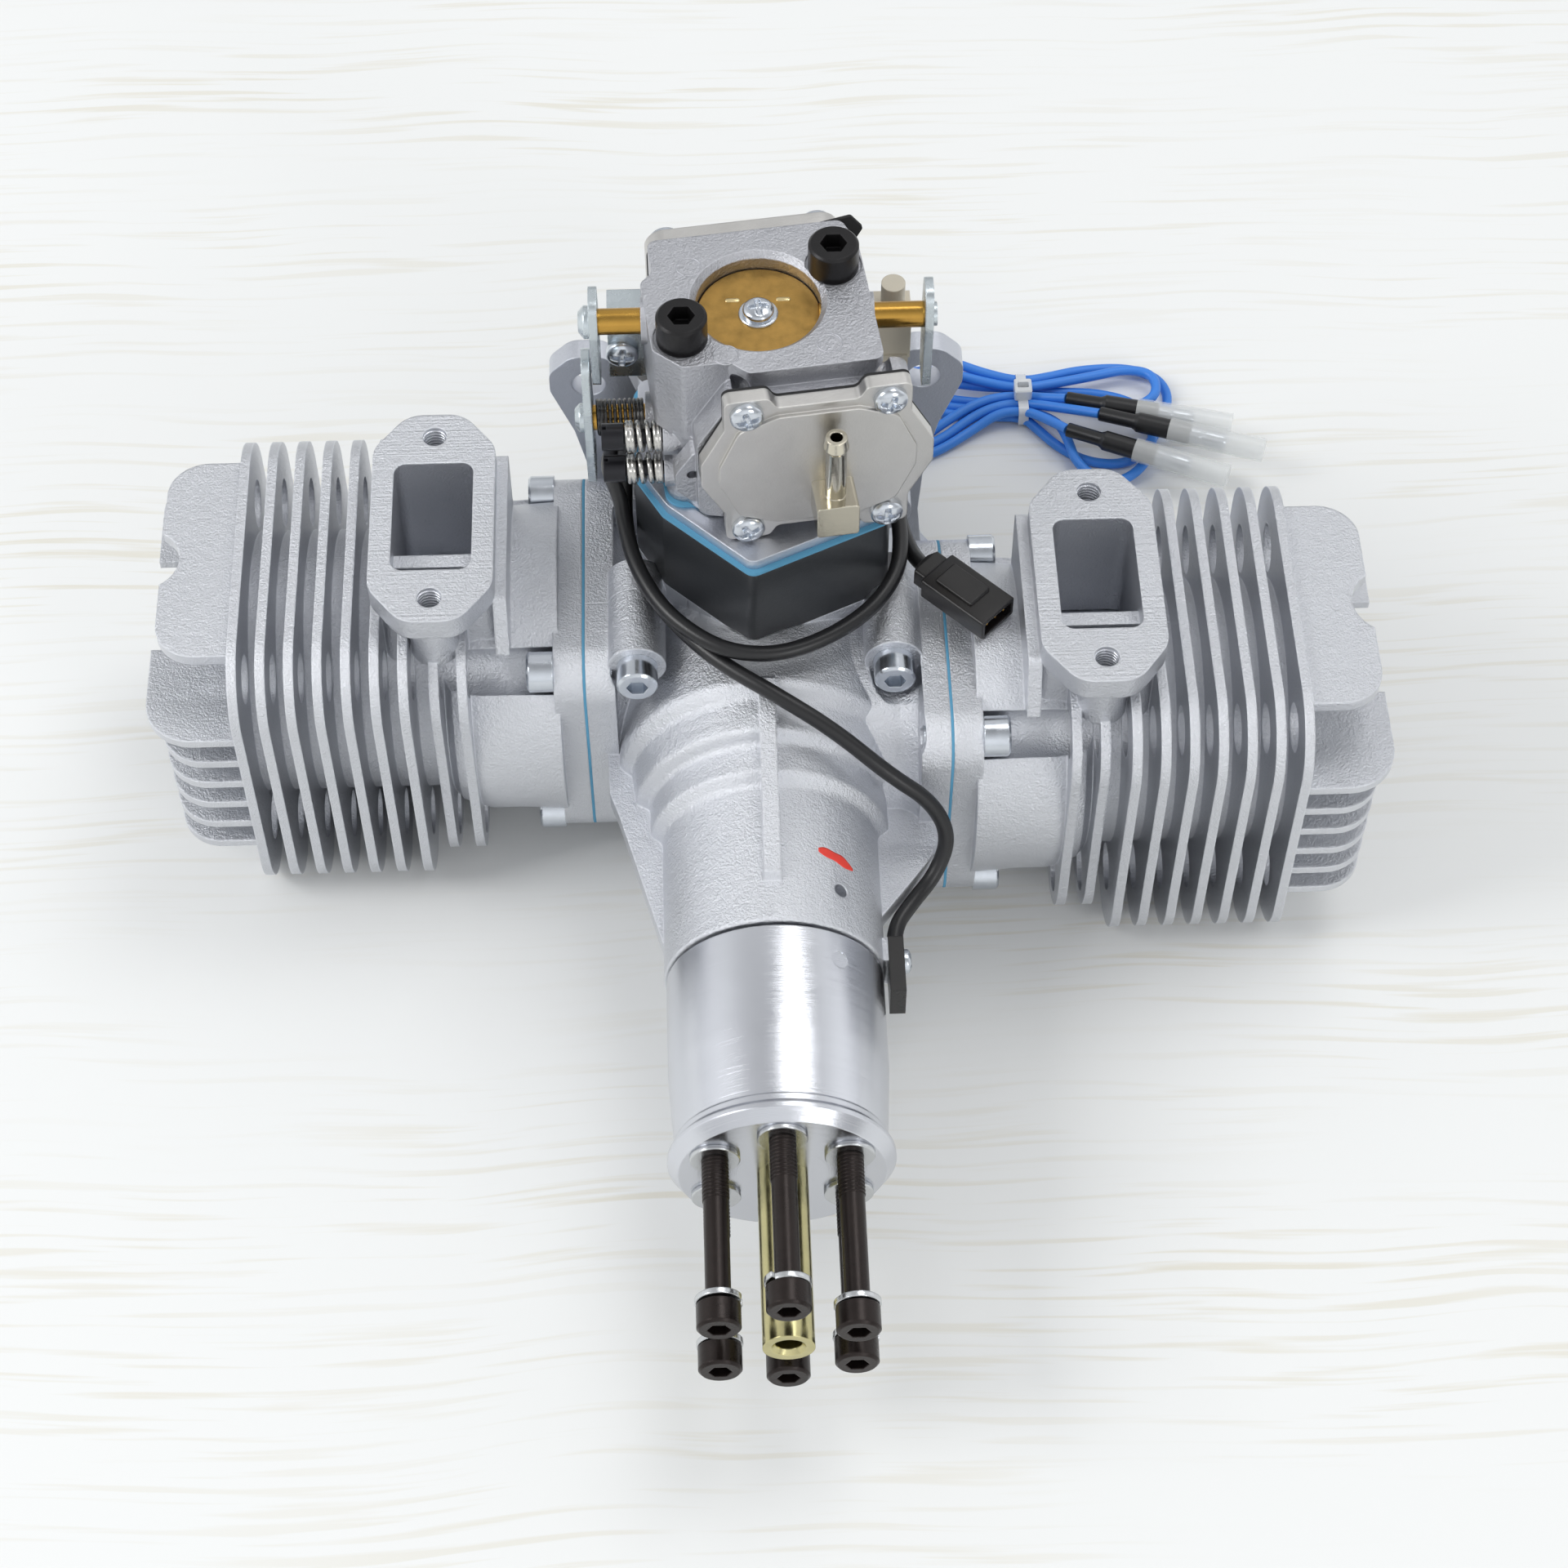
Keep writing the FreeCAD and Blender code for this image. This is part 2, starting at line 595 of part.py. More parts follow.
# Pistons at top dead centre with their rods and pins
piston_r = bore_r - running_gap
pin_x = crank_r + rod_length
crown_x = pin_x + 18.0
skirt_x = pin_x - 16.0
pin_r = 5.5
for name, sx, cy in (("right", 1, right_y), ("left", -1, left_y)):
    ring_grooves = []
    for k in range(2):
        gx = crown_x - 4.5 - 3.5 * k
        ring_grooves.append(tube(piston_r + 1, piston_r - 1.6, (gx - 1.2, cy, 0), (gx, cy, 0)))
    piston = rod(piston_r, (skirt_x, cy, 0), (crown_x, cy, 0))
    piston = piston.cut([rod(piston_r - 2.6, (skirt_x - 1, cy, 0), (crown_x - 4.5, cy, 0))])
    bosses = [rod(pin_r + 3, (pin_x, cy - 21, 0), (pin_x, cy - 7.5, 0)),
              rod(pin_r + 3, (pin_x, cy + 7.5, 0), (pin_x, cy + 21, 0))]
    inside = rod(piston_r - 1, (skirt_x, cy, 0), (crown_x - 1, cy, 0))
    bosses = [b.common(inside) for b in bosses]
    piston = fused([piston] + bosses)
    piston = piston.cut(ring_grooves + [rod(pin_r, (pin_x, cy - 30, 0), (pin_x, cy + 30, 0))])
    rings = []
    for k in range(2):
        gx = crown_x - 4.5 - 3.5 * k
        rings.append(tube(piston_r, piston_r - 1.5, (gx - 1.1, cy, 0), (gx - 0.1, cy, 0)))
    wrist = tube(pin_r, 3.4, (pin_x, cy - 19, 0), (pin_x, cy + 19, 0))
    big_r = 10.6
    crank_pin_r = 6.5
    conrod = fused([rod(big_r, (crank_r, cy - 5.4, 0), (crank_r, cy + 5.4, 0)),
                    rod(9.0, (pin_x, cy - 6.0, 0), (pin_x, cy + 6.0, 0)),
                    prism([(crank_r, -9.5), (pin_x, -6.5), (pin_x, 6.5), (crank_r, 9.5)], 0, "XZ", -2.8, 2.8)
                    .translated(V(0, cy, 0))])
    slot_web = []
    for s in (-1, 1):
        slot_web.append(prism([(crank_r + 14, -4.5), (pin_x - 11, -3.0), (pin_x - 11, 3.0), (crank_r + 14, 4.5)], 1.5,
                              "XZ", 1.2, 4).translated(V(0, cy, 0)))
        slot_web.append(prism([(crank_r + 14, -4.5), (pin_x - 11, -3.0), (pin_x - 11, 3.0), (crank_r + 14, 4.5)], 1.5,
                              "XZ", -4, -1.2).translated(V(0, cy, 0)))
    conrod = conrod.cut(slot_web[:2] + [rod(pin_r, (pin_x, cy - 9, 0), (pin_x, cy + 9, 0)),
                                       rod(crank_pin_r, (crank_r, cy - 9, 0), (crank_r, cy + 9, 0))])
    crank_pin = rod(crank_pin_r, (crank_r, cy - rod_slab + 0.05, 0), (crank_r, cy + rod_slab - 0.05, 0))
    if sx < 0:
        piston, wrist, conrod, crank_pin = [s.mirror(V(0, 0, 0), V(1, 0, 0)) for s in
                                            (piston, wrist, conrod, crank_pin)]
        rings = [s.mirror(V(0, 0, 0), V(1, 0, 0)) for s in rings]
    save("piston_" + name, group([piston] + rings))
    save("wrist_pin_" + name, wrist)
    save("connecting_rod_" + name, conrod)
    save("crank_pin_" + name, crank_pin)

# Intake block, reed cage, gaskets and adaptor plate
block_top_z = block_base_z + block_h
block = prism(block_plan, block_radii, "XY", block_base_z, block_top_z)
block = block.cut([box(-duct_half_x, duct_half_x, carb_y - duct_half_y, carb_y + duct_half_y, block_base_z - 1,
                       block_top_z + 1),
                   box(-duct_half_x - 2, duct_half_x + 2, carb_y - duct_half_y - 2, carb_y + duct_half_y + 2,
                       block_top_z - 2.2, block_top_z + 1)])
save("intake_block", block)
cage_gap = 0.15
cage = box(-duct_half_x - 2 + cage_gap, duct_half_x + 2 - cage_gap, carb_y - duct_half_y - 2 + cage_gap,
           carb_y + duct_half_y + 2 - cage_gap, block_top_z - 2.2, block_top_z - 0.05)
wedge = prism([(carb_y - 11, block_top_z - 2), (carb_y + 11, block_top_z - 2), (carb_y + 1.2, block_base_z - 2),
               (carb_y - 1.2, block_base_z - 2)], 0, "YZ", -12.5, 12.5)
inner = prism([(carb_y - 9.2, block_top_z + 1), (carb_y + 9.2, block_top_z + 1), (carb_y, block_base_z + 2)], 0,
              "YZ", -10.8, 10.8)
windows = []
for wx in (-6.1, 6.1):
    windows.append(box(wx - 4.2, wx + 4.2, carb_y - 14, carb_y + 14, block_base_z + 4, block_top_z - 6))
cage = fused([cage, wedge]).cut([inner] + windows)
save("reed_cage", cage)

gasket_z = block_top_z + gasket_t
adaptor_top_z = gasket_z + adaptor_t
carb_base_z = adaptor_top_z + gasket_t
carb_centre = (carb_x, carb_y)
duct_hole = rod(throttle_bore_r + 1.2, (carb_x, carb_y, block_top_z - 1), (carb_x, carb_y, carb_base_z + 1))
intake_gasket = prism(block_plan, block_radii, "XY", block_top_z, gasket_z).cut(duct_hole)
inset = 1.0
adaptor_plan = [
    (-2.5, block_front_y + 1.3 * inset),
    (block_half_x - inset, block_front_y + 13.2 + 0.8 * inset),
    (block_half_x - inset, block_rear_y - inset),
    (-block_half_x + inset, block_rear_y - inset),
    (-block_half_x + inset, block_front_y + 26.5 + 0.3 * inset),
    (-20.2 + inset, block_front_y + 16.4 + 0.6 * inset),
]
adaptor = prism(adaptor_plan, 2.5, "XY", gasket_z, adaptor_top_z).cut(duct_hole)


def turned_in_plan(shape):
    """Carburettor pieces are drawn square to the covers about the throat, then turned in plan."""
    out = shape.copy()
    out.rotate(V(0, 0, 0), V(0, 0, 1), carb_turn)
    out.translate(V(carb_x, carb_y, 0))
    return out


carb_screw_x = 15.0
carb_screw_y = 9.1
screw_hole_r = 3.1
hole_cuts = []
for s in (-1, 1):
    hole_cuts.append(rod(screw_hole_r, (carb_x + s * carb_screw_x, carb_y + s * carb_screw_y, block_top_z - 10),
                         (carb_x + s * carb_screw_x, carb_y + s * carb_screw_y, carb_top_z + 10)))
intake_gasket = intake_gasket.cut(hole_cuts)
adaptor = adaptor.cut(hole_cuts)
save("adaptor_plate", adaptor)

# Carburettor body
body_plan = [(-19.5, body_rear_y), (19.5, body_rear_y), (21.8, 12), (21.8, body_front_y), (-4.5, body_front_y),
             (-8, body_front_y + 3.4), (-17, body_front_y + 3.4), (-22.2, -10), (-22.2, 8), (-19.5, 10.5)]
low_plan = [(-18.5, body_rear_y), (19.0, body_rear_y), (20.5, body_front_y), (-13.0, body_front_y), (-19.0, -12)]
body = fused([prism(body_plan, 2.0, "XY", body_step_z, carb_top_z),
              prism(low_plan, 2.0, "XY", carb_base_z, body_step_z + 1.0)])
foot_plan = [(-20.5, -14), (14, -17.5), (20.5, -10), (20.5, 14), (-14, 17.5), (-20.5, 10)]
body = body.fuse(prism(foot_plan, 4.0, "XY", carb_base_z, carb_base_z + 6.0))
front_frame = [(-15.5, 59.5), (-8.5, 57.5), (27.0, 57.5), (27.0, 91.5), (-8.5, 91.5), (-15.5, 80)]
body = body.fuse(prism(front_frame, 3.0, "XZ", body_front_y - 3.0, body_front_y + 4.0))
side_lug = prism([(-10.0, 60.0), (-16.5, 61.0), (-19.6, 65.0), (-19.6, 69.5), (-16.0, 75.0), (-10.0, 77.0)],
                 [0, 2.0, 2.6, 2.6, 2.0, 0], "XZ", body_front_y - 0.6, body_front_y + 3.4)
side_lug = side_lug.cut(rod(1.15, (side_lug_x, body_front_y - 2, side_lug_z), (side_lug_x, body_front_y + 1.6, side_lug_z)))
body = body.fuse(side_lug)
body = turned_in_plan(body)
boss_left = rod(4.6, (carb_x - 23.0, carb_y, choke_z), (carb_x - 12, carb_y, choke_z))
boss_right = rod(4.6, (carb_x + 12, carb_y, choke_z), (carb_x + 22.6, carb_y, choke_z))
boss_low = rod(5.0, (carb_x - 23.0, carb_y, throttle_z), (carb_x + 22.6, carb_y, throttle_z))
needle_y = carb_y - 12.0
needle_seat = 19.4
needle_z = (70.6, 61.0)
needle_boss = [rod(3.8, (carb_x - needle_seat, needle_y, z), (carb_x - 8, needle_y, z)) for z in needle_z]
body = fused([body, boss_left, boss_right, boss_low] + needle_boss)
throat = [
    rod(choke_bore_r, (carb_x, carb_y, choke_z - 14), (carb_x, carb_y, carb_top_z + 1)),
    Part.makeCone(choke_bore_r + 1.2, choke_bore_r, 1.2, V(carb_x, carb_y, carb_top_z + 0.01), V(0, 0, -1)),
    rod(venturi_r, (carb_x, carb_y, carb_base_z - 1), (carb_x, carb_y, carb_top_z + 1)),
    rod(throttle_bore_r, (carb_x, carb_y, carb_base_z - 1), (carb_x, carb_y, throttle_z + 10.2)),
]
body = body.cut(throat)
shaft_gap = 0.04
body = body.cut([rod(brass_r + shaft_gap, (-40, carb_y, choke_z), (40, carb_y, choke_z)),
                 rod(brass_r + shaft_gap, (-40, carb_y, throttle_z), (40, carb_y, throttle_z))])
needle_r = 1.6
body = body.cut([rod(needle_r + shaft_gap, (-30, needle_y, z), (carb_x - needle_seat + 2.6, needle_y, z))
                 for z in needle_z])
body = body.cut(hole_cuts)
head6_r = 5.0
spot = []
for s in (-1, 1):
    spot.append(rod(head6_r + 0.6, (carb_x + s * carb_screw_x, carb_y + s * carb_screw_y, carb_top_z - 0.6),
                    (carb_x + s * carb_screw_x, carb_y + s * carb_screw_y, carb_top_z + 2)))
body = body.cut(spot)
foot_gasket = turned_in_plan(prism([(-21.0, -15), (13, -18.3), (21.2, -10.5), (21.2, 14.5), (-14, 18.0),
                                    (-21.0, 10.5)], 4.0, "XY", adaptor_top_z, carb_base_z))
foot_gasket = foot_gasket.cut([duct_hole] + hole_cuts)
save("intake_gaskets", group([intake_gasket, foot_gasket]))
carb_screws = []
for s in (-1, 1):
    carb_screws.append(socket_screw(2.95, carb_top_z - block_top_z - 1.2, head6_r, 6.0,
                                    (carb_x + s * carb_screw_x, carb_y + s * carb_screw_y, carb_top_z - 0.6),
                                    (0, 0, 1)))
save("carb_screws", group(carb_screws))

# Pump cover in front and metering cover behind
cover_half = 13.95
cover_half_z = 16.6
half_plan = [(23.0, -3.0), (23.0, 3.0), (18.3, 12.4), (18.3, 20.2), (9.6, 20.2), (8.0, 17.4)]
cover_plan = half_plan + [(-x, z) for x, z in reversed(half_plan)]
cover_plan += [(-x, -z) for x, z in half_plan[2:]] + [(x, -z) for x, z in reversed(half_plan[2:])]
cover_plan = [(pump_cover_x + x, pump_cover_z + z) for x, z in cover_plan]
pump_gasket_y = body_front_y - 3.0
pump_y1 = pump_gasket_y - cover_gasket_t
pump_y0 = pump_y1 - cover_t
corner_r = 1.6
pump_gasket = prism(cover_plan, corner_r, "XZ", pump_y1, pump_gasket_y)
pump_cover = prism(cover_plan, corner_r, "XZ", pump_y0, pump_y1)
dish = [(-19.5, -2.5), (-19.5, 2.5), (-15.6, 12.2), (-8.0, 15.4), (8.0, 15.4), (15.6, 12.2), (19.5, 2.5),
        (19.5, -2.5), (15.6, -12.2), (8.0, -15.4), (-8.0, -15.4), (-15.6, -12.2)]
dish = [(pump_cover_x + x, pump_cover_z + z) for x, z in dish]
raised = prism(dish, 3.0, "XZ", pump_y0 - 0.9, pump_y0 + 1)
pump_cover = pump_cover.fuse(raised)
pump_screws = []
screw_holes = []
for sx in (-1, 1):
    for sz in (-1, 1):
        px = pump_cover_x + sx * cover_half
        pz = pump_cover_z + sz * cover_half_z
        screw_holes.append(rod(1.75, (px, pump_y0 - 2, pz), (px, pump_gasket_y + 8, pz)))
        pump_screws.append(turned_in_plan(pan_screw(1.7, 9.0, 3.3, 2.4, (px, pump_y0, pz), (0, -1, 0))))
pump_holes = [turned_in_plan(h) for h in screw_holes]
nipple_x = 10.6
nipple_z = 67.0
nipple_hole = rod(2.6, (nipple_x, pump_y0 - 3, nipple_z), (nipple_x, pump_y1 - 0.5, nipple_z))
pump_cover = pump_cover.cut([nipple_hole])
pump_cover = turned_in_plan(pump_cover).cut(pump_holes)
pump_gasket = turned_in_plan(pump_gasket).cut(pump_holes)
save("pump_cover", pump_cover)
square_base = prism([(nipple_x - 4.2, nipple_z - 4.2), (nipple_x + 4.2, nipple_z - 4.2),
                     (nipple_x + 4.2, nipple_z + 4.2), (nipple_x - 4.2, nipple_z + 4.2)], 0.8, "XZ",
                    pump_y0 - 8.6, pump_y0 - 0.9)
barb = turned([(0, nipple_z + 3), (2.1, nipple_z + 3), (2.1, nipple_z + 17.0), (2.5, nipple_z + 18.0),
               (2.1, nipple_z + 20.6), (0, nipple_z + 20.6)])
barb.rotate(V(0, 0, 0), V(1, 0, 0), 90)
barb.translate(V(nipple_x, pump_y0 - 4.6, 0))
spigot = rod(2.6, (nipple_x, pump_y0 - 2, nipple_z), (nipple_x, pump_y1 - 0.5, nipple_z))
nipple = fused([square_base, barb, spigot])
nipple = nipple.cut(rod(1.25, (nipple_x, pump_y0 - 4.6, nipple_z), (nipple_x, pump_y0 - 4.6, nipple_z + 30)))
save("fuel_nipple", turned_in_plan(nipple))

meter_plan = [(-19.5, 56.5), (19.5, 56.5), (19.5, 95.0), (-19.5, 95.0)]
meter_y0 = body_rear_y + cover_gasket_t
meter_y1 = meter_y0 + cover_t
meter_gasket = prism(meter_plan, 4.0, "XZ", body_rear_y, meter_y0)
meter_tab = prism([(14, 88), (22.5, 90), (24.0, 93), (21.5, 96.5), (14, 95)], 0.8, "XZ", body_rear_y, meter_y0)
meter_gasket = meter_gasket.fuse(meter_tab)
meter_cover = prism(meter_plan, 4.0, "XZ", meter_y0, meter_y1)
meter_cover = meter_cover.fuse(rod(12.5, (0, meter_y1 - 0.5, 75.5), (0, meter_y1 + 1.6, 75.5)))
meter_screws = []
meter_holes = []
for px in (-15.2, 15.2):
    for pz in (60.8, 90.8):
        meter_holes.append(turned_in_plan(rod(1.75, (px, body_rear_y - 8, pz), (px, meter_y1 + 2, pz))))
        meter_screws.append(turned_in_plan(pan_screw(1.7, 9.0, 3.4, 2.6, (px, meter_y1, pz), (0, 1, 0))))
meter_cover = turned_in_plan(meter_cover).cut(meter_holes)
meter_gasket = turned_in_plan(meter_gasket).cut(meter_holes)
save("metering_cover", meter_cover)
body = body.cut(pump_holes + meter_holes)
save("carb_body", body)
save("cover_gaskets", group([pump_gasket, meter_gasket]))
small_screws = pump_screws + meter_screws

# Choke: brass shaft with a half-round seat, disc, screw and two levers
lever_t = 1.7
choke_left_x = carb_x - 31.4
choke_right_x = carb_x + 32.4
choke_shaft = rod(brass_r, (choke_left_x, carb_y, choke_z), (choke_right_x, carb_y, choke_z))
seat_cut = box(carb_x - choke_bore_r + 0.4, carb_x + choke_bore_r - 0.4, carb_y - 5, carb_y + 5, choke_z, choke_z + 5)
choke_shaft = choke_shaft.cut(seat_cut)
choke_disc = rod(choke_bore_r - disc_gap, (carb_x, carb_y, choke_z), (carb_x, carb_y, choke_z + disc_t))
for sx in (-1, 1):
    choke_disc = choke_disc.cut(box(carb_x + sx * 5.0 - 1.4, carb_x + sx * 5.0 + 1.4, carb_y + 3.1, carb_y + 4.3,
                                    choke_z - 1, choke_z + 3))
choke_disc = choke_disc.cut(box(carb_x - choke_bore_r, carb_x - choke_bore_r + 0.9, carb_y - 4, carb_y + 4,
                                choke_z - 1, choke_z + 3))
choke_disc = choke_disc.cut(box(carb_x + choke_bore_r - 0.9, carb_x + choke_bore_r, carb_y - 4, carb_y + 4,
                                choke_z - 1, choke_z + 3))
choke_disc = choke_disc.cut(rod(1.25, (carb_x, carb_y, choke_z - 1), (carb_x, carb_y, choke_z + 3)))
choke_shaft = choke_shaft.cut(rod(1.25, (carb_x, carb_y, choke_z - 5), (carb_x, carb_y, choke_z + 3)))
choke_screw = pan_screw(1.2, 3.2, 2.9, 1.9, (carb_x, carb_y, choke_z + disc_t), (0, 0, 1))
save("choke_shaft", choke_shaft)
save("choke_disc", group([choke_disc, choke_screw]))
lever_plan = [(carb_y - 3.6, choke_z - 18.5), (carb_y + 3.6, choke_z - 18.5), (carb_y + 4.6, choke_z),
              (carb_y + 3.4, choke_z + 8.2), (carb_y - 3.4, choke_z + 8.2), (carb_y - 4.6, choke_z)]
lever_right = prism(lever_plan, 3.0, "YZ", choke_right_x, choke_right_x + lever_t)
lever_right = lever_right.cut(rod(1.1, (choke_right_x - 1, carb_y, choke_z - 15.2),
                                  (choke_right_x + 3, carb_y, choke_z - 15.2)))
lever_right = lever_right.fuse(rod(2.4, (choke_right_x + lever_t, carb_y, choke_z),
                                   (choke_right_x + lever_t + 0.9, carb_y, choke_z)))
save("choke_lever_right", lever_right)
left_plan = [(carb_y - 3.2, choke_z - 16.0), (carb_y + 3.2, choke_z - 16.0), (carb_y + 4.8, choke_z),
             (carb_y + 3.6, choke_z + 7.4), (carb_y - 3.6, choke_z + 7.4), (carb_y - 4.8, choke_z)]
lever_left = prism(left_plan, 2.6, "YZ", choke_left_x - lever_t, choke_left_x)
left_cap = pan_screw(1.2, lever_t, 3.3, 2.2, (choke_left_x - lever_t, carb_y, choke_z), (-1, 0, 0))
save("choke_lever_left", lever_left.fuse(left_cap))

# Throttle: lower shaft, disc, long lever and return spring
throttle_left_x = carb_x - 33.6
throttle_shaft = rod(brass_r, (throttle_left_x, carb_y, throttle_z), (carb_x + 25.0, carb_y, throttle_z))
throttle_seat = box(carb_x - throttle_bore_r + 0.4, carb_x + throttle_bore_r - 0.4, carb_y - 5, carb_y + 5,
                    throttle_z, throttle_z + 5)
throttle_shaft = throttle_shaft.cut(throttle_seat)
throttle_disc = rod(throttle_bore_r - disc_gap, (carb_x, carb_y, throttle_z), (carb_x, carb_y, throttle_z + 1.0))
for s in (-1, 1):
    edge = carb_x + s * (throttle_bore_r - 0.4)
    throttle_disc = throttle_disc.cut(box(min(edge, edge + s * 2), max(edge, edge + s * 2), carb_y - 4, carb_y + 4,
                                          throttle_z - 1, throttle_z + 3))
save("throttle_shaft", throttle_shaft)
save("throttle_disc", throttle_disc)
throttle_plan = [(carb_y - 3.8, throttle_z - 17.0), (carb_y + 3.8, throttle_z - 17.0), (carb_y + 5.4, throttle_z - 6),
                 (carb_y + 5.0, throttle_z + 6), (carb_y + 3.2, throttle_z + 18.5), (carb_y - 3.2, throttle_z + 18.5),
                 (carb_y - 5.0, throttle_z + 6), (carb_y - 5.4, throttle_z - 6)]
throttle_lever = prism(throttle_plan, 3.0, "YZ", throttle_left_x - lever_t, throttle_left_x)
throttle_lever = throttle_lever.cut(rod(1.3, (throttle_left_x - 3, carb_y, throttle_z - 12.5),
                                        (throttle_left_x + 3, carb_y, throttle_z - 12.5)))
throttle_cap = pan_screw(1.2, lever_t, 3.0, 2.0, (throttle_left_x - lever_t, carb_y, throttle_z), (-1, 0, 0))
save("throttle_lever", throttle_lever.fuse(throttle_cap))
spring_x0 = throttle_left_x + 0.4
spring_x1 = carb_x - 23.1
spring = []
turns = 9
spring_step = (spring_x1 - spring_x0 - 0.8) / (turns - 1)
for k in range(turns):
    coil = Part.makeTorus(3.4, 0.4, V(spring_x0 + 0.4 + k * spring_step, carb_y, throttle_z), V(1, 0, 0))
    spring.append(coil)
save("throttle_spring", group(spring))

# Mixture needles with their springs
needle_head_x = carb_x - 31.6
needle_head_l = 4.4
coil_r = 2.75
coil_wire_r = 0.55
coil_turns = 5
coil_first_x = needle_head_x + needle_head_l + coil_wire_r + 0.1
coil_last_x = carb_x - needle_seat - coil_wire_r - 0.1
coil_step = (coil_last_x - coil_first_x) / (coil_turns - 1)
needles = []
for name, z in zip(("needle_upper", "needle_lower"), needle_z):
    head = rod(2.75, (needle_head_x, needle_y, z), (needle_head_x + needle_head_l, needle_y, z))
    head = head.cut(box(needle_head_x - 1, needle_head_x + 1, needle_y - 0.45, needle_y + 0.45, z - 4, z + 4))
    tip_x = carb_x - needle_seat - 0.6
    needle = fused([head, rod(needle_r, (needle_head_x + 3, needle_y, z), (tip_x, needle_y, z)),
                    Part.makeCone(needle_r, 0.3, 2.6, V(tip_x, needle_y, z), V(1, 0, 0))])
    save(name, needle)
    for k in range(coil_turns):
        needles.append(Part.makeTorus(coil_r, coil_wire_r, V(coil_first_x + k * coil_step, needle_y, z), V(1, 0, 0)))
save("needle_springs", group(needles))

# Bracket beside the body and its screw
bracket_y = carb_y + 6.0
bracket = fused([box(carb_x - 30.0, carb_x - 19.6, bracket_y, bracket_y + 1.6, 68.5, 84.0),
                 box(carb_x - 30.0, carb_x - 21.6, bracket_y - 0.2, bracket_y + 9.0, 82.6, 84.2)])
bracket = bracket.cut(body)
bracket_hole = rod(1.75, (carb_x - 27.2, bracket_y - 3, 76.0), (carb_x - 27.2, bracket_y + 6, 76.0))
save("linkage_bracket", bracket.cut(bracket_hole))
small_screws.append(pan_screw(1.7, 5.0, 3.3, 2.4, (carb_x - 27.2, bracket_y, 76.0), (0, -1, 0)))
side_block = fused([box(carb_x + 21.0, carb_x + 30.6, carb_y + 6.0, carb_y + 13.0, 72.0, 84.0),
                    box(carb_x + 24.4, carb_x + 30.2, carb_y + 5.6, carb_y + 12.6, 62.0, 73.0)])
side_block = side_block.fuse(rod(2.4, (carb_x + 27.0, carb_y + 9.4, 83), (carb_x + 27.0, carb_y + 9.4, 90.0)))
save("side_block", side_block.cut(body))

# Propeller hub and what is screwed on it
hub = turned([
    (0, hub_face_y),
    (hub_flange_r - 2.0, hub_face_y),
    (hub_flange_r, hub_face_y + 2.4),
    (hub_flange_r, hub_face_y + 3.4),
    (hub_flange_r - 0.9, hub_face_y + hub_flange_t - 0.9),
    (hub_neck_r + 0.3, hub_face_y + hub_flange_t - 0.6),
    (hub_neck_r + 0.3, hub_face_y + hub_flange_t + 0.6),
    (hub_neck_r, hub_face_y + hub_flange_t + 1.0),
    (hub_rear_r, hub_face_y + 22),
    (hub_rear_r, hub_rear_y),
    (0, hub_rear_y),
])
crank_hole = turned([(0, hub_rear_y - 14.1), (front_shaft_r - 0.9, hub_rear_y - 14.1),
                     (front_shaft_r + 0.02, hub_rear_y - 13.0), (front_shaft_r + 0.02, hub_rear_y + 1),
                     (0, hub_rear_y + 1)])
hub_cuts = [crank_hole, rod(sleeve_spigot_r, (0, hub_face_y - 1, 0), (0, hub_face_y + sleeve_in, 0))]
bolt_spots = []
for k in range(6):
    t = math.radians(90 + 60 * k)
    bolt_spots.append((bolt_circle_r * math.cos(t), bolt_circle_r * math.sin(t)))
for bx, bz in bolt_spots:
    hub_cuts.append(rod(prop_bolt_r, (bx, hub_face_y - 1, bz), (bx, hub_face_y + prop_bolt_in + 0.5, bz)))
magnet_y = hub_rear_y - 6.0
magnet_dir = (math.sin(math.radians(35)), 0, math.cos(math.radians(35)))
magnet_base = (magnet_dir[0] * (hub_rear_r - 3.4), magnet_y, magnet_dir[2] * (hub_rear_r - 3.4))
magnet = Part.makeCylinder(1.9, 3.3, V(*magnet_base), V(*magnet_dir))
hub_cuts.append(Part.makeCylinder(1.9, 8, V(*magnet_base), V(*magnet_dir)))
save("prop_hub", group([hub.cut(hub_cuts), magnet]))
sleeve = fused([rod(sleeve_r, (0, hub_face_y - sleeve_out, 0), (0, hub_face_y, 0)),
                rod(sleeve_spigot_r, (0, hub_face_y - 1, 0), (0, hub_face_y + sleeve_in, 0))])
sleeve = sleeve.cut([rod(2.5, (0, hub_face_y - sleeve_out - 1, 0), (0, hub_face_y - sleeve_out + 16, 0)),
                     Part.makeCone(3.4, 2.5, 0.9, V(0, hub_face_y - sleeve_out - 0.01, 0), V(0, 1, 0))])
save("prop_sleeve", sleeve)
bolt_shift = (0.0, 0.4, -1.0, 0.8, -0.3, -0.9)
prop_bolts = []
flat_washers = []
lock_washers = []
for (bx, bz), shift in zip(bolt_spots, bolt_shift):
    seat_y = hub_face_y - prop_bolt_out + prop_head_h + shift
    length = hub_face_y + prop_bolt_in - seat_y - 1.2
    prop_bolts.append(socket_screw(prop_bolt_r - 0.04, length, prop_head_r, prop_head_h - 0.5, (bx, seat_y, bz),
                                   (0, -1, 0)))
    flat_washers.append(tube(4.9, prop_bolt_r, (bx, hub_face_y - 1.0, bz), (bx, hub_face_y, bz)))
    lock_washers.append(tube(4.5, prop_bolt_r, (bx, seat_y, bz), (bx, seat_y + 1.2, bz)))
save("prop_bolts", group(prop_bolts))
save("prop_washers", group(flat_washers + lock_washers))

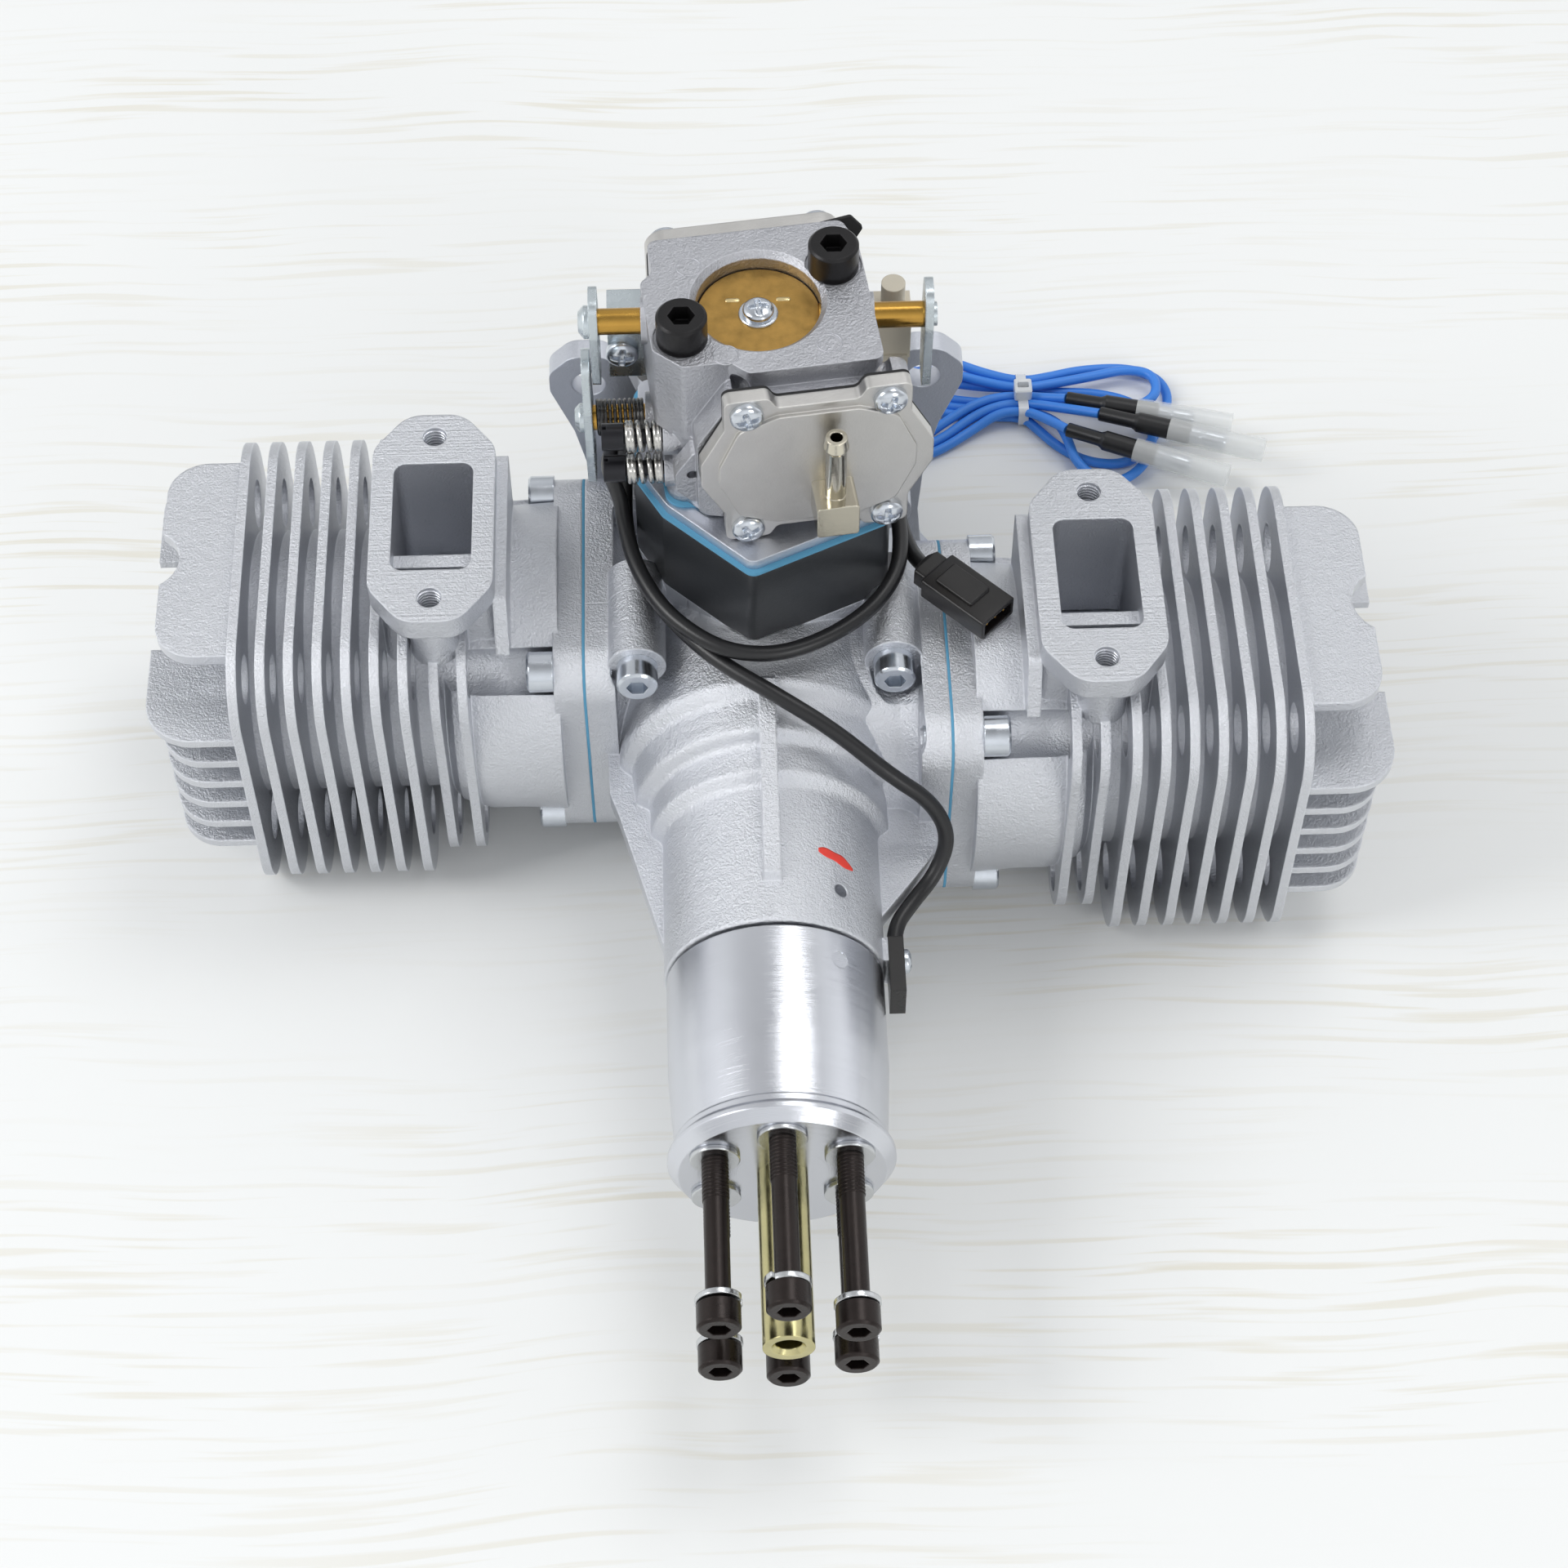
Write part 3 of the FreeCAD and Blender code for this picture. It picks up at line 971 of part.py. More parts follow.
# Rear mount plate: an hour-glass with four holed ears
side = [(mount_hole_x + ear_r, mount_hole_top_z - 2), (39.0, 33.0), (36.3, 20.0), (waist_x, 4.0),
        (36.6, -10.0), (mount_hole_x + ear_r, mount_hole_low_z + 2)]
plate_plan = [(0, case_r)] + [(16, case_r), (25.0, mount_hole_top_z - 4), (mount_hole_x - ear_r, mount_hole_top_z + 3),
                              (mount_hole_x - 3.4, mount_hole_top_z + ear_r), (mount_hole_x + 3.4,
                                                                               mount_hole_top_z + ear_r),
                              (mount_hole_x + ear_r, mount_hole_top_z + 3.4)]
plate_plan += side
plate_plan += [(mount_hole_x + ear_r, mount_hole_low_z - 3.4), (mount_hole_x + 3.4, mount_hole_low_z - ear_r),
               (mount_hole_x - 3.4, mount_hole_low_z - ear_r), (mount_hole_x - 12, mount_hole_low_z - ear_r + 0.4),
               (0, mount_hole_low_z - ear_r + 0.4)]
mirrored = [(-x, z) for x, z in reversed(plate_plan) if x > 0.01]
plate = prism(plate_plan + mirrored, 4.5, "XZ", -plate_t, 0)
plate_cuts = [rod(rear_shaft_r + 3.5, (0, -20, 0), (0, 5, 0))]
for sx in (-1, 1):
    for z in (mount_hole_top_z, mount_hole_low_z):
        plate_cuts.append(rod(mount_hole_r, (sx * mount_hole_x, -20, z), (sx * mount_hole_x, 5, z)))
    for sz in (-1, 1):
        plate_cuts.append(rod(2.6, (sx * column_x, -20, sz * plate_screw_z), (sx * column_x, 5, sz * plate_screw_z)))
        plate_cuts.append(rod(4.6, (sx * column_x, -2.0, sz * plate_screw_z), (sx * column_x, 5, sz * plate_screw_z)))
save("mount_plate", plate.cut(plate_cuts))
plate_screws = []
for sx in (-1, 1):
    for sz in (-1, 1):
        plate_screws.append(socket_screw(2.5, 13, screw_head_r, 1.7, (sx * column_x, -2.0, sz * plate_screw_z),
                                         (0, 1, 0)))
save("case_screws", group(case_screws + plate_screws))

# Starter machine: fixed stator on the plate, black bell on the crankshaft
stator_r = starter_r - starter_wall - 1.2
stator_y1 = bell_inner_y - 8.0
stator = turned([(rear_shaft_r + 1.5, 0), (22.0, 0), (22.0, starter_gap_y), (13.0, starter_gap_y + 3),
                 (13.0, stator_y1), (rear_shaft_r + 1.5, stator_y1)])
teeth = []
tooth_count = 12
for k in range(tooth_count):
    tooth = box(12.0, stator_r - 2.0, -1.8, 1.8, 0, 1).common(rod(stator_r, (0, 0, -1), (0, 0, 2)))
    arm = Part.makeBox(stator_r - 13.0, stator_y1 - starter_gap_y - 4, 3.4, V(12.0, starter_gap_y + 4, -1.7))
    shoe = Part.makeBox(2.0, stator_y1 - starter_gap_y - 4, 9.0, V(stator_r - 2.4, starter_gap_y + 4, -4.5))
    limb = arm.fuse(shoe).common(rod(stator_r, (0, 0, 0), (0, 60, 0)))
    limb.rotate(V(0, 0, 0), V(0, 1, 0), 360.0 / tooth_count * k)
    teeth.append(limb)
lead_exit_x = 24.6
lead_exit_z = 5.0
lead_exit = box(15.0, lead_exit_x, 0, starter_gap_y - 0.4, lead_exit_z - 3.4, lead_exit_z + 3.4)
stator = stator.fuse(teeth + [lead_exit]).removeSplitter()
save("starter_stator", stator)
bell = turned([
    (starter_r - starter_wall, starter_gap_y),
    (starter_r - 0.6, starter_gap_y),
    (starter_r, starter_gap_y + 0.6),
    (starter_r, starter_rear_y - 2.0),
    (starter_r - 2.0, starter_rear_y),
    (6.05, starter_rear_y),
    (6.05, bell_inner_y - 5.8),
    (10.0, bell_inner_y - 5.8),
    (10.0, bell_inner_y),
    (starter_r - starter_wall, bell_inner_y),
])
vents = []
for k in range(6):
    vent = prism([(13.5, -3.2), (22.5, -4.2), (22.5, 4.2), (13.5, 3.2)], 1.8, "XZ", bell_inner_y - 1, starter_rear_y + 1)
    vent.rotate(V(0, 0, 0), V(0, 1, 0), 60 * k)
    vents.append(vent)
save("starter_bell", bell.cut(vents))
nut = hexagon(13.0, 4.0, (0, starter_rear_y, 0), (0, 1, 0)).cut(rod(6.0, (0, starter_rear_y - 1, 0),
                                                                    (0, starter_rear_y + 6, 0)))
save("starter_nut", nut)

# Speed sensor beside the hub, its screw and lead
sensor_x0 = nose_r + 0.6
sensor = box(sensor_x0, sensor_x0 + 3.2, sensor_y0 - 2.0, sensor_y1, -4.4, 4.4)
sensor = sensor.cut(rod(1.3, (sensor_x0 - 1, nose_front_y + 3.6, 0), (sensor_x0 + 9, nose_front_y + 3.6, 0)))
save("sensor_module", sensor)
sensor_screw = pan_screw(1.25, 5.6, 2.5, 1.7, (sensor_x0 + 3.2, nose_front_y + 3.6, 0), (1, 0, 0))
small_screws.append(sensor_screw)
save("small_screws", group(small_screws))
lead_points = [
    (24.5, sensor_y1, -2.0),
    (24.5, -111.4, -2.0),
    (28.6, -105.2, -1.9),
    (34.0, -99.4, 0.2),
    (36.8, -94.8, 7.0),
    (33.0, -91.6, 15.0),
    (24.6, -89.6, 21.6),
    (13.8, -83.4, 28.6),
    (2.9, -78.0, 33.4),
    (-8.7, -69.7, 34.0),
    (-15.6, -62.2, 33.9),
    (-21.4, -54.6, 34.6),
    (-26.3, -44.8, 35.9),
    (-28.3, -34.4, 36.3),
    (-28.2, -24.6, 36.7),
    (-28.3, -16.4, 36.9),
    (-27.6, -10.4, 37.0),
    (-23.9, -7.2, 37.0),
    (-16.0, -7.1, 37.1),
    (-5.4, -7.1, 37.0),
    (5.2, -7.1, 37.1),
    (16.0, -7.1, 37.0),
    (23.9, -7.2, 37.0),
    (27.6, -10.4, 37.0),
    (28.3, -16.4, 37.1),
    (28.2, -24.6, 37.3),
    (28.5, -33.4, 37.5),
    (28.8, -41.7, 37.6),
    (27.6, -50.0, 37.3),
    (21.9, -58.8, 37.0),
    (13.1, -65.3, 36.6),
    (3.1, -69.4, 36.6),
    (-6.0, -69.1, 37.0),
    (-13.1, -65.5, 37.3),
    (-20.9, -57.9, 37.8),
    (-26.3, -46.9, 39.0),
    (-28.3, -36.9, 39.5),
    (-28.9, -30.2, 39.4),
    (-30.8, -23.6, 38.4),
    (-31.9, -17.0, 36.5),
    (-30.4, -11.0, 34.5),
    (-26.0, -7.4, 33.4),
    (-19.0, -7.1, 33.3),
    (-9.4, -7.1, 33.4),
    (1.0, -7.1, 33.3),
    (11.4, -7.1, 33.4),
    (19.4, -7.1, 33.3),
    (24.4, -7.5, 33.3),
    (28.0, -11.0, 33.3),
    (28.6, -17.0, 33.3),
    (28.7, -24.0, 33.4),
    (28.9, -30.6, 33.4),
    (29.6, -36.2, 33.7),
    (30.9, -41.6, 34.5),
    (32.3, -45.9, 35.8),
    (34.3, -48.7, 36.4),
    (36.5, -50.3, 36.4),
]
save("sensor_lead", route(lead_points, lead_r))
plug_length = 14.5
plug_end = V(*lead_points[-1])
plug_dir = plug_end - V(*lead_points[-2])
plug_dir.normalize()
plug_turn = FreeCAD.Rotation(V(1, 0, 0), plug_dir)
sensor_plug = box(0, plug_length, -4.9, 4.9, -2.6, 2.6)
sensor_plug = sensor_plug.fuse(box(2.0, 10.0, -3.0, 3.0, 2.5, 3.4))
sensor_plug = sensor_plug.cut(box(plug_length - 5.0, plug_length + 1, -4.1, 4.1, -1.8, 1.8))
sensor_plug.Placement = FreeCAD.Placement(plug_end, plug_turn)
save("sensor_plug", sensor_plug)

# Starter leads: a bundle drapes to the floor, passes a cable tie and ends in a flat hank
hank_top_z = -32.4
blue_points = [
    (lead_exit_x, starter_gap_y / 2, lead_exit_z),
    (34.0, starter_gap_y / 2, lead_exit_z),
    (42.0, 9.0, 8.0),
    (46.0, 20.0, 7.4),
    (47.6, 32.6, 3.6),
    (48.4, 43.2, -6.4),
    (50.2, 51.2, -16.4),
    (51.0, 57.4, -26.0),
    (51.0, 57.4, hank_top_z),
]
save("blue_lead_run", route(blue_points, blue_r))
hank_plan = [(68.6, 50.5), (68.6, 66.5), (80.0, 72.4), (92.0, 73.4), (100.4, 70.2), (103.4, 62.4), (100.0, 54.0),
             (96.6, 44.0), (94.6, 36.6), (87.8, 33.2), (78.0, 38.2)]
fold_plan = [(63.0, 54.6), (63.0, 66.6), (54.0, 71.6), (44.0, 71.2), (38.0, 66.4), (38.0, 59.6), (43.0, 56.2),
             (52.0, 53.6)]
neck_y0 = 54.6
neck_y1 = 66.4
neck_z0 = floor_z + 0.8
neck_z1 = hank_top_z + 0.4
hank = fused([prism(hank_plan, [0, 0, 6, 6, 6, 6, 6, 6, 4, 5, 6], "XY", floor_z, hank_top_z),
              prism(fold_plan, [0, 0, 5, 5, 4, 4, 4, 5], "XY", floor_z, hank_top_z),
              box(62.0, 69.6, neck_y0, neck_y1, neck_z0, neck_z1)])
save("blue_lead_hank", hank)
tie_x0 = 64.4
tie_x1 = 66.8
tie_t = 0.6
tie = prism([(neck_y0 - tie_t, neck_z0 - tie_t), (neck_y1 + tie_t, neck_z0 - tie_t),
             (neck_y1 + tie_t, neck_z1 + tie_t), (neck_y0 - tie_t, neck_z1 + tie_t)], 0.6, "YZ", tie_x0, tie_x1)
tie = tie.cut(box(tie_x0 - 1, tie_x1 + 1, neck_y0, neck_y1, neck_z0, neck_z1))
tie_head_y = 57.6
tie = tie.fuse(box(tie_x0 - 0.9, tie_x1 + 0.9, tie_head_y, tie_head_y + 4.4, neck_z1 + tie_t - 0.2, neck_z1 + 3.8))
save("zip_tie", tie)
sleeve_gap = 0.05
plug_r_big = 2.45
sleeve_out_r = 2.95
plug_axis_z = hank_top_z + sleeve_out_r + 0.1
plug_lift = (0.0, 2.2, 0.0)
bullets = []
clear_sleeves = []
ends = (((75.8, 56.0), (117.6, 45.4)), ((83.0, 49.0), (120.6, 36.2)), ((75.2, 46.2), (108.6, 31.6)))
for (start, end), lift in zip(ends, plug_lift):
    a = V(start[0], start[1], plug_axis_z + lift)
    d = V(end[0], end[1], plug_axis_z + lift) - a
    span = d.Length
    d.normalize()
    black = Part.makeCylinder(1.75, 9.0, a, d)
    black = black.fuse([Part.makeCylinder(plug_r_big, 14.0, a + d * 8.5, d),
                        Part.makeCylinder(1.95, 9.0, a + d * 22.0, d)])
    bullets.append(black)
    outer = Part.makeCylinder(sleeve_out_r, span - 17.0, a + d * 17.0, d)
    clear_sleeves.append(outer.cut(Part.makeCylinder(plug_r_big + sleeve_gap, span, a + d * 16.0, d)))
save("bullet_plugs", group(bullets))
save("plug_sleeves", group(clear_sleeves))
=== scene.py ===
# %% [markdown]
# # A flat twin aircraft engine on a pale bench
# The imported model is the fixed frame: every casting, screw and lever sits where it was drawn.
# This file gives those pieces their finishes and adds what is too fine for them: threads, coil
# springs, cross recesses, the soft leads and the cable tie.

# %% Load the frame
import bpy
import bmesh
import json
import math
import numpy as np
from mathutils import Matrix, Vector
from mathutils.bvhtree import BVHTree


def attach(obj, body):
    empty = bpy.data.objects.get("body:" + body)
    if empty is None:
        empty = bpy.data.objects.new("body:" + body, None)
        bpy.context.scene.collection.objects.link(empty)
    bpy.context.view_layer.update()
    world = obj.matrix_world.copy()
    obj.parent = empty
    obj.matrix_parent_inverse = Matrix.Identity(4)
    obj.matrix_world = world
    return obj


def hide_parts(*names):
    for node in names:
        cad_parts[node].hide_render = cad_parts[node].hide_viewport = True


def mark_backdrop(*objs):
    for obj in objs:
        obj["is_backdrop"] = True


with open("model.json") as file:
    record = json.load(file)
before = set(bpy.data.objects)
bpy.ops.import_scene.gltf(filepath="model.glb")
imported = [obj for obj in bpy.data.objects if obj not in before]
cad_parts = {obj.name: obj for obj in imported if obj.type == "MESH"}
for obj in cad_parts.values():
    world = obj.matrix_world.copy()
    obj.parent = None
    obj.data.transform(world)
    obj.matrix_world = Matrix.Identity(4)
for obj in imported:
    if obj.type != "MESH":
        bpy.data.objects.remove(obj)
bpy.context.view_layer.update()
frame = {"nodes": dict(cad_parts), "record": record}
MM = 0.001
UP = (0, 0, 1)
FLOOR_Z = -37.5 * MM

# %% [markdown]
# ## Camera
# The engine is seen from the propeller's side, from well above and with a long lens. The angle
# was fitted on the round hub, the fins and the bolt circle, so it is written down as numbers.

# %% Camera
aim = np.array([3.42, -75.68, 0.0]) * MM
elevation, azimuth = math.radians(54.83), math.radians(-1.93)
distance = 0.69763
field_of_view = math.radians(26.55)
sensor_width = 36.0
level = math.cos(elevation)
back = np.array([math.sin(azimuth) * level, -math.cos(azimuth) * level, math.sin(elevation)])
camera_data = bpy.data.cameras.new("bench_camera")
camera_data.sensor_width = sensor_width
camera_data.sensor_fit = "HORIZONTAL"
camera_data.lens = sensor_width / 2 / math.tan(field_of_view / 2)
camera_data.clip_start, camera_data.clip_end = 0.01, 20.0
camera = bpy.data.objects.new("bench_camera", camera_data)
bpy.context.scene.collection.objects.link(camera)
camera.location = aim + distance * back
camera.rotation_euler = Vector(back).to_track_quat("Z", "Y").to_euler()
bpy.context.scene.camera = camera
print("camera at", [round(float(c), 3) for c in camera.location])

# %% [markdown]
# ## Helpers for surfaces
# Most new pieces are a grid of points, computed with numpy as whole arrays, and a few lines that
# close the grid round and cap it. A swept tube is the same grid carried along a path.

# %% Mesh from arrays
WELD_DISTANCE = 1e-6


def mesh_piece(name, points, faces, material, smooth=True):
    """Object at the origin whose mesh has these points (in metres) and faces."""
    mesh = bpy.data.meshes.new(name)
    corners = np.asarray(points, float).reshape(-1, 3).tolist()
    mesh.from_pydata(corners, [], [list(map(int, f)) for f in faces])
    mesh.polygons.foreach_set("use_smooth", np.full(len(mesh.polygons), smooth))
    mesh.validate()
    obj = bpy.data.objects.new(name, mesh)
    bpy.context.scene.collection.objects.link(obj)
    mesh.materials.append(material)
    return obj


def grid_faces(rows, cols, wrap_rows=False, wrap_cols=True):
    """Quads of a rows x cols grid, closed round where asked."""
    i = np.arange(rows if wrap_rows else rows - 1)
    j = np.arange(cols if wrap_cols else cols - 1)
    a, b = np.meshgrid(i, j, indexing="ij")
    a2, b2 = (a + 1) % rows, (b + 1) % cols
    quads = np.stack([a * cols + b, a2 * cols + b, a2 * cols + b2, a * cols + b2], -1)
    return quads.reshape(-1, 4).tolist()


def end_caps(rows, cols):
    """The two faces that close a tube's grid: its first and its last ring."""
    return [list(range(cols)), list(range((rows - 1) * cols, rows * cols))]


def axes_for(direction):
    """Two unit vectors square to a direction, and the direction itself."""
    w = np.asarray(direction, float)
    w = w / np.linalg.norm(w)
    u = np.cross([0.0, 0.0, 1.0] if abs(w[2]) < 0.9 else [1.0, 0.0, 0.0], w)
    u = u / np.linalg.norm(u)
    return u, np.cross(w, u), w


def turned(profile, base, direction, material, name, around=48, ring=False):
    """(radius, height) pairs in mm spun about a line: point = base + r(cos t u + sin t v) + h w."""
    u, v, w = axes_for(direction)
    r, h = np.array(profile, float).T
    t = np.linspace(0, 2 * np.pi, around, endpoint=False)
    spokes = np.cos(t)[:, None] * u + np.sin(t)[:, None] * v
    pts = r[:, None, None] * spokes[None] + h[:, None, None] * w + np.asarray(base, float)
    faces = grid_faces(len(r), around, wrap_rows=ring)
    if not ring:
        faces += [cap for cap, radius in zip(end_caps(len(r), around), (r[0], r[-1])) if radius > 0]
    obj = mesh_piece(name, pts.reshape(-1, 3) * MM, faces, material)
    fix_normals(obj)
    return shaded(obj)


def shaded(obj, degrees=32):
    """Marks edges sharper than an angle, so that round faces look smooth and corners stay crisp."""
    obj.data.set_sharp_from_angle(angle=math.radians(degrees))
    return obj


def fix_normals(obj):
    """Merges doubled points and turns every face outwards."""
    bm = bmesh.new()
    bm.from_mesh(obj.data)
    bmesh.ops.remove_doubles(bm, verts=bm.verts, dist=WELD_DISTANCE)
    bmesh.ops.recalc_face_normals(bm, faces=bm.faces)
    bm.to_mesh(obj.data)
    bm.free()


def swept(path, radius, material, name, around=12):
    """A round wire (radius in mm) carried along path points (mm): centre + r(cos t n + sin t b)."""
    p = np.asarray(path, float)
    tangent = np.gradient(p, axis=0)
    tangent /= np.linalg.norm(tangent, axis=1)[:, None]
    normal = np.zeros_like(p)
    normal[0] = axes_for(tangent[0])[0]
    for k in range(1, len(p)):
        n = normal[k - 1] - tangent[k] * np.dot(normal[k - 1], tangent[k])
        normal[k] = n / np.linalg.norm(n)
    binormal = np.cross(tangent, normal)
    t = np.linspace(0, 2 * np.pi, around, endpoint=False)
    pts = p[:, None] + radius * (np.cos(t)[None, :, None] * normal[:, None]
                                 + np.sin(t)[None, :, None] * binormal[:, None])
    faces = grid_faces(len(p), around) + end_caps(len(p), around)
    obj = mesh_piece(name, pts.reshape(-1, 3) * MM, faces, material)
    fix_normals(obj)
    return obj


def helix(base, direction, radius, start, end, turns, per_turn=24, closed=0.0):
    """Points (mm) of a coil about a line, from height start to end; closed flattens its ends by a sine."""
    u, v, w = axes_for(direction)
    t = np.linspace(0, 1, int(abs(turns) * per_turn) + 1)
    a = 2 * np.pi * turns * t
    rise = t - closed * np.sin(2 * np.pi * t) / (2 * np.pi)
    return (np.asarray(base, float) + radius * (np.cos(a)[:, None] * u + np.sin(a)[:, None] * v)
            + (start + (end - start) * rise)[:, None] * w)


def rounded_ring(half_w, half_h, corner, per_corner=5):
    """Points (a, b) round a rectangle with round corners: corner centre + corner * (cos, sin)."""
    t = np.linspace(0, np.pi / 2, per_corner)
    signs = np.array([(1, 1), (-1, 1), (-1, -1), (1, -1)])
    angle = t[None] + np.arange(4)[:, None] * np.pi / 2
    a = signs[:, :1] * (half_w - corner) + corner * np.cos(angle)
    b = signs[:, 1:] * (half_h - corner) + corner * np.sin(angle)
    return np.stack([a.ravel(), b.ravel()], 1)


def bar(name, base, direction, up, stations, material, degrees=32):
    """Rounded rectangle carried along a line: at each (s, half_w, half_h, corner) of the stations there
    is a ring base + s w + a u + b v."""
    w = np.asarray(direction, float) / np.linalg.norm(direction)
    v = np.asarray(up, float) - np.dot(up, w) * w
    v = v / np.linalg.norm(v)
    u = np.cross(v, w)
    rings = [np.asarray(base, float) + s * w + ring[:, :1] * u + ring[:, 1:] * v
             for s, ring in ((st[0], rounded_ring(*st[1:])) for st in stations)]
    count = len(rings[0])
    faces = grid_faces(len(rings), count) + end_caps(len(rings), count)
    obj = mesh_piece(name, np.concatenate(rings) * MM, faces, material)
    fix_normals(obj)
    return shaded(obj, degrees)


# %% [markdown]
# ## Shared effects
# Cast, turned, milled and plated metal differ in the same few things: grain, machining marks,
# faint stains and softened edges. Each is a node group, built once and set per material.

# %% Node helpers
FLOAT, VECTOR = "NodeSocketFloat", "NodeSocketVector"


def new_group(name, inputs, outputs):
    """Empty node group with these (label, kind, default) inputs and (label, kind) outputs."""
    tree = bpy.data.node_groups.new(name, "ShaderNodeTree")
    for label, kind, value in inputs:
        socket = tree.interface.new_socket(label, in_out="INPUT", socket_type=kind)
        if value is not None:
            socket.default_value = value
    for label, kind in outputs:
        tree.interface.new_socket(label, in_out="OUTPUT", socket_type=kind)
    return tree, tree.nodes.new("NodeGroupInput"), tree.nodes.new("NodeGroupOutput")


def new_material(name):
    """Material with its tree and the inputs of its Principled shader."""
    mat = bpy.data.materials.new(name)
    mat.use_nodes = True
    return mat, mat.node_tree, mat.node_tree.nodes["Principled BSDF"].inputs


def feed(tree, socket, value):
    """Links an input to another node's output, or sets it to a number or a colour."""
    if isinstance(value, bpy.types.NodeSocket):
        tree.links.new(value, socket)
    else:
        socket.default_value = value


def node(tree, kind, links=(), **values):
    """Adds a node, sets its properties or inputs by name, and links (input, socket) pairs."""
    n = tree.nodes.new(kind)
    for key, value in values.items():
        if hasattr(n, key):
            setattr(n, key, value)
        else:
            n.inputs[key.replace("_", " ")].default_value = value
    for key, socket in links:
        tree.links.new(socket, n.inputs[key])
    return n


def math_node(tree, operation, *values, clamp=False):
    """One step of arithmetic on numbers and sockets; gives the socket of its result."""
    n = tree.nodes.new("ShaderNodeMath")
    n.operation = operation
    n.use_clamp = clamp
    for socket, value in zip(n.inputs, values):
        feed(tree, socket, value)
    return n.outputs[0]


def mix_node(tree, factor, first, second, colour=True, blend="MIX"):
    """Blend of two colours or two numbers. The node keeps colours in inputs 6 and 7, numbers in 2 and 3."""
    n = tree.nodes.new("ShaderNodeMix")
    n.data_type, n.blend_type = ("RGBA" if colour else "FLOAT"), blend
    start = 6 if colour else 2
    for index, value in ((0, factor), (start, first), (start + 1, second)):
        feed(tree, n.inputs[index], value)
    return n.outputs[2 if colour else 0]


# %% Grain: two sizes of noise, as blasted or die-cast metal has
def build_grain():
    """Height is fine noise plus a share of a coarser one; Blotch is slow noise for stains."""
    tree, gi, go = new_group("metal_grain",
                             [("Vector", VECTOR, None), ("Scale", FLOAT, 1500.0),
                              ("Blotch Scale", FLOAT, 60.0)],
                             [("Height", FLOAT), ("Blotch", FLOAT)])
    place, fine_scale = gi.outputs["Vector"], gi.outputs["Scale"]
    coarse_scale = math_node(tree, "MULTIPLY", fine_scale, 0.28)
    coarse_share = 0.6
    fine = node(tree, "ShaderNodeTexNoise", [("Vector", place), ("Scale", fine_scale)],
                Detail=4.0, Roughness=0.65)
    coarse = node(tree, "ShaderNodeTexNoise", [("Vector", place), ("Scale", coarse_scale)],
                  Detail=2.0, Roughness=0.5)
    blotch = node(tree, "ShaderNodeTexNoise", [("Vector", place), ("Scale", gi.outputs["Blotch Scale"])],
                  Detail=4.0, Roughness=0.6)
    mixed = math_node(tree, "MULTIPLY_ADD", coarse.outputs[0], coarse_share, fine.outputs[0])
    tree.links.new(mixed, go.inputs["Height"])
    tree.links.new(blotch.outputs[0], go.inputs["Blotch"])
    return tree


# %% Machining marks: stripes of uneven strength along one value, such as a radius or a length
def build_marks():
    """Height is noise along one value only, so that it is drawn out to lines."""
    tree, gi, go = new_group("machining_marks", [("Value", FLOAT, 0.0), ("Lines per mm", FLOAT, 4.0)],
                             [("Height", FLOAT)])
    scale = math_node(tree, "MULTIPLY", gi.outputs["Lines per mm"], 1 / MM)
    w = math_node(tree, "MULTIPLY", gi.outputs["Value"], scale)
    noise = node(tree, "ShaderNodeTexNoise", [("W", w)], noise_dimensions="1D", Scale=1.0, Detail=3.0,
                 Roughness=0.6)
    tree.links.new(noise.outputs[0], go.inputs["Height"])
    return tree


# %% Soft edges: the surface normal rounded over a small radius, and a mask of where it turns
def build_edges():
    """Normal is bent near edges; Edge is how far it leaves the true normal there."""
    tree, gi, go = new_group("soft_edges", [("Radius", FLOAT, 0.0004)],
                             [("Normal", VECTOR), ("Edge", FLOAT)])
    bevel = node(tree, "ShaderNodeBevel", [("Radius", gi.outputs["Radius"])], samples=4)
    geometry = tree.nodes.new("ShaderNodeNewGeometry")
    dot = tree.nodes.new("ShaderNodeVectorMath")
    dot.operation = "DOT_PRODUCT"
    tree.links.new(bevel.outputs[0], dot.inputs[0])
    tree.links.new(geometry.outputs["Normal"], dot.inputs[1])
    edge = math_node(tree, "SUBTRACT", 1.0, dot.outputs["Value"], clamp=True)
    edge_gain = 4.0
    edge = math_node(tree, "MULTIPLY", edge, edge_gain, clamp=True)
    tree.links.new(bevel.outputs[0], go.inputs["Normal"])
    tree.links.new(edge, go.inputs["Edge"])
    return tree


GRAIN, MARKS, EDGES = build_grain(), build_marks(), build_edges()
print("effects", GRAIN.name, MARKS.name, EDGES.name)

# %% [markdown]
# ## One recipe for metal
# A base colour with faint stains and a painted highlight along its edges, a roughness that follows
# the stains, grain or machining marks as bump, and edge normals rounded so that the edges also catch
# the lamps. What differs between finishes is only the numbers.

# %% Metal material
def srgb(r, g, b):
    """Colour from 0-255 screen values to the linear values that the shader uses."""
    c = np.array([r, g, b]) / 255.0
    return tuple(np.where(c <= 0.04045, c / 12.92, ((c + 0.055) / 1.055) ** 2.4)) + (1.0,)


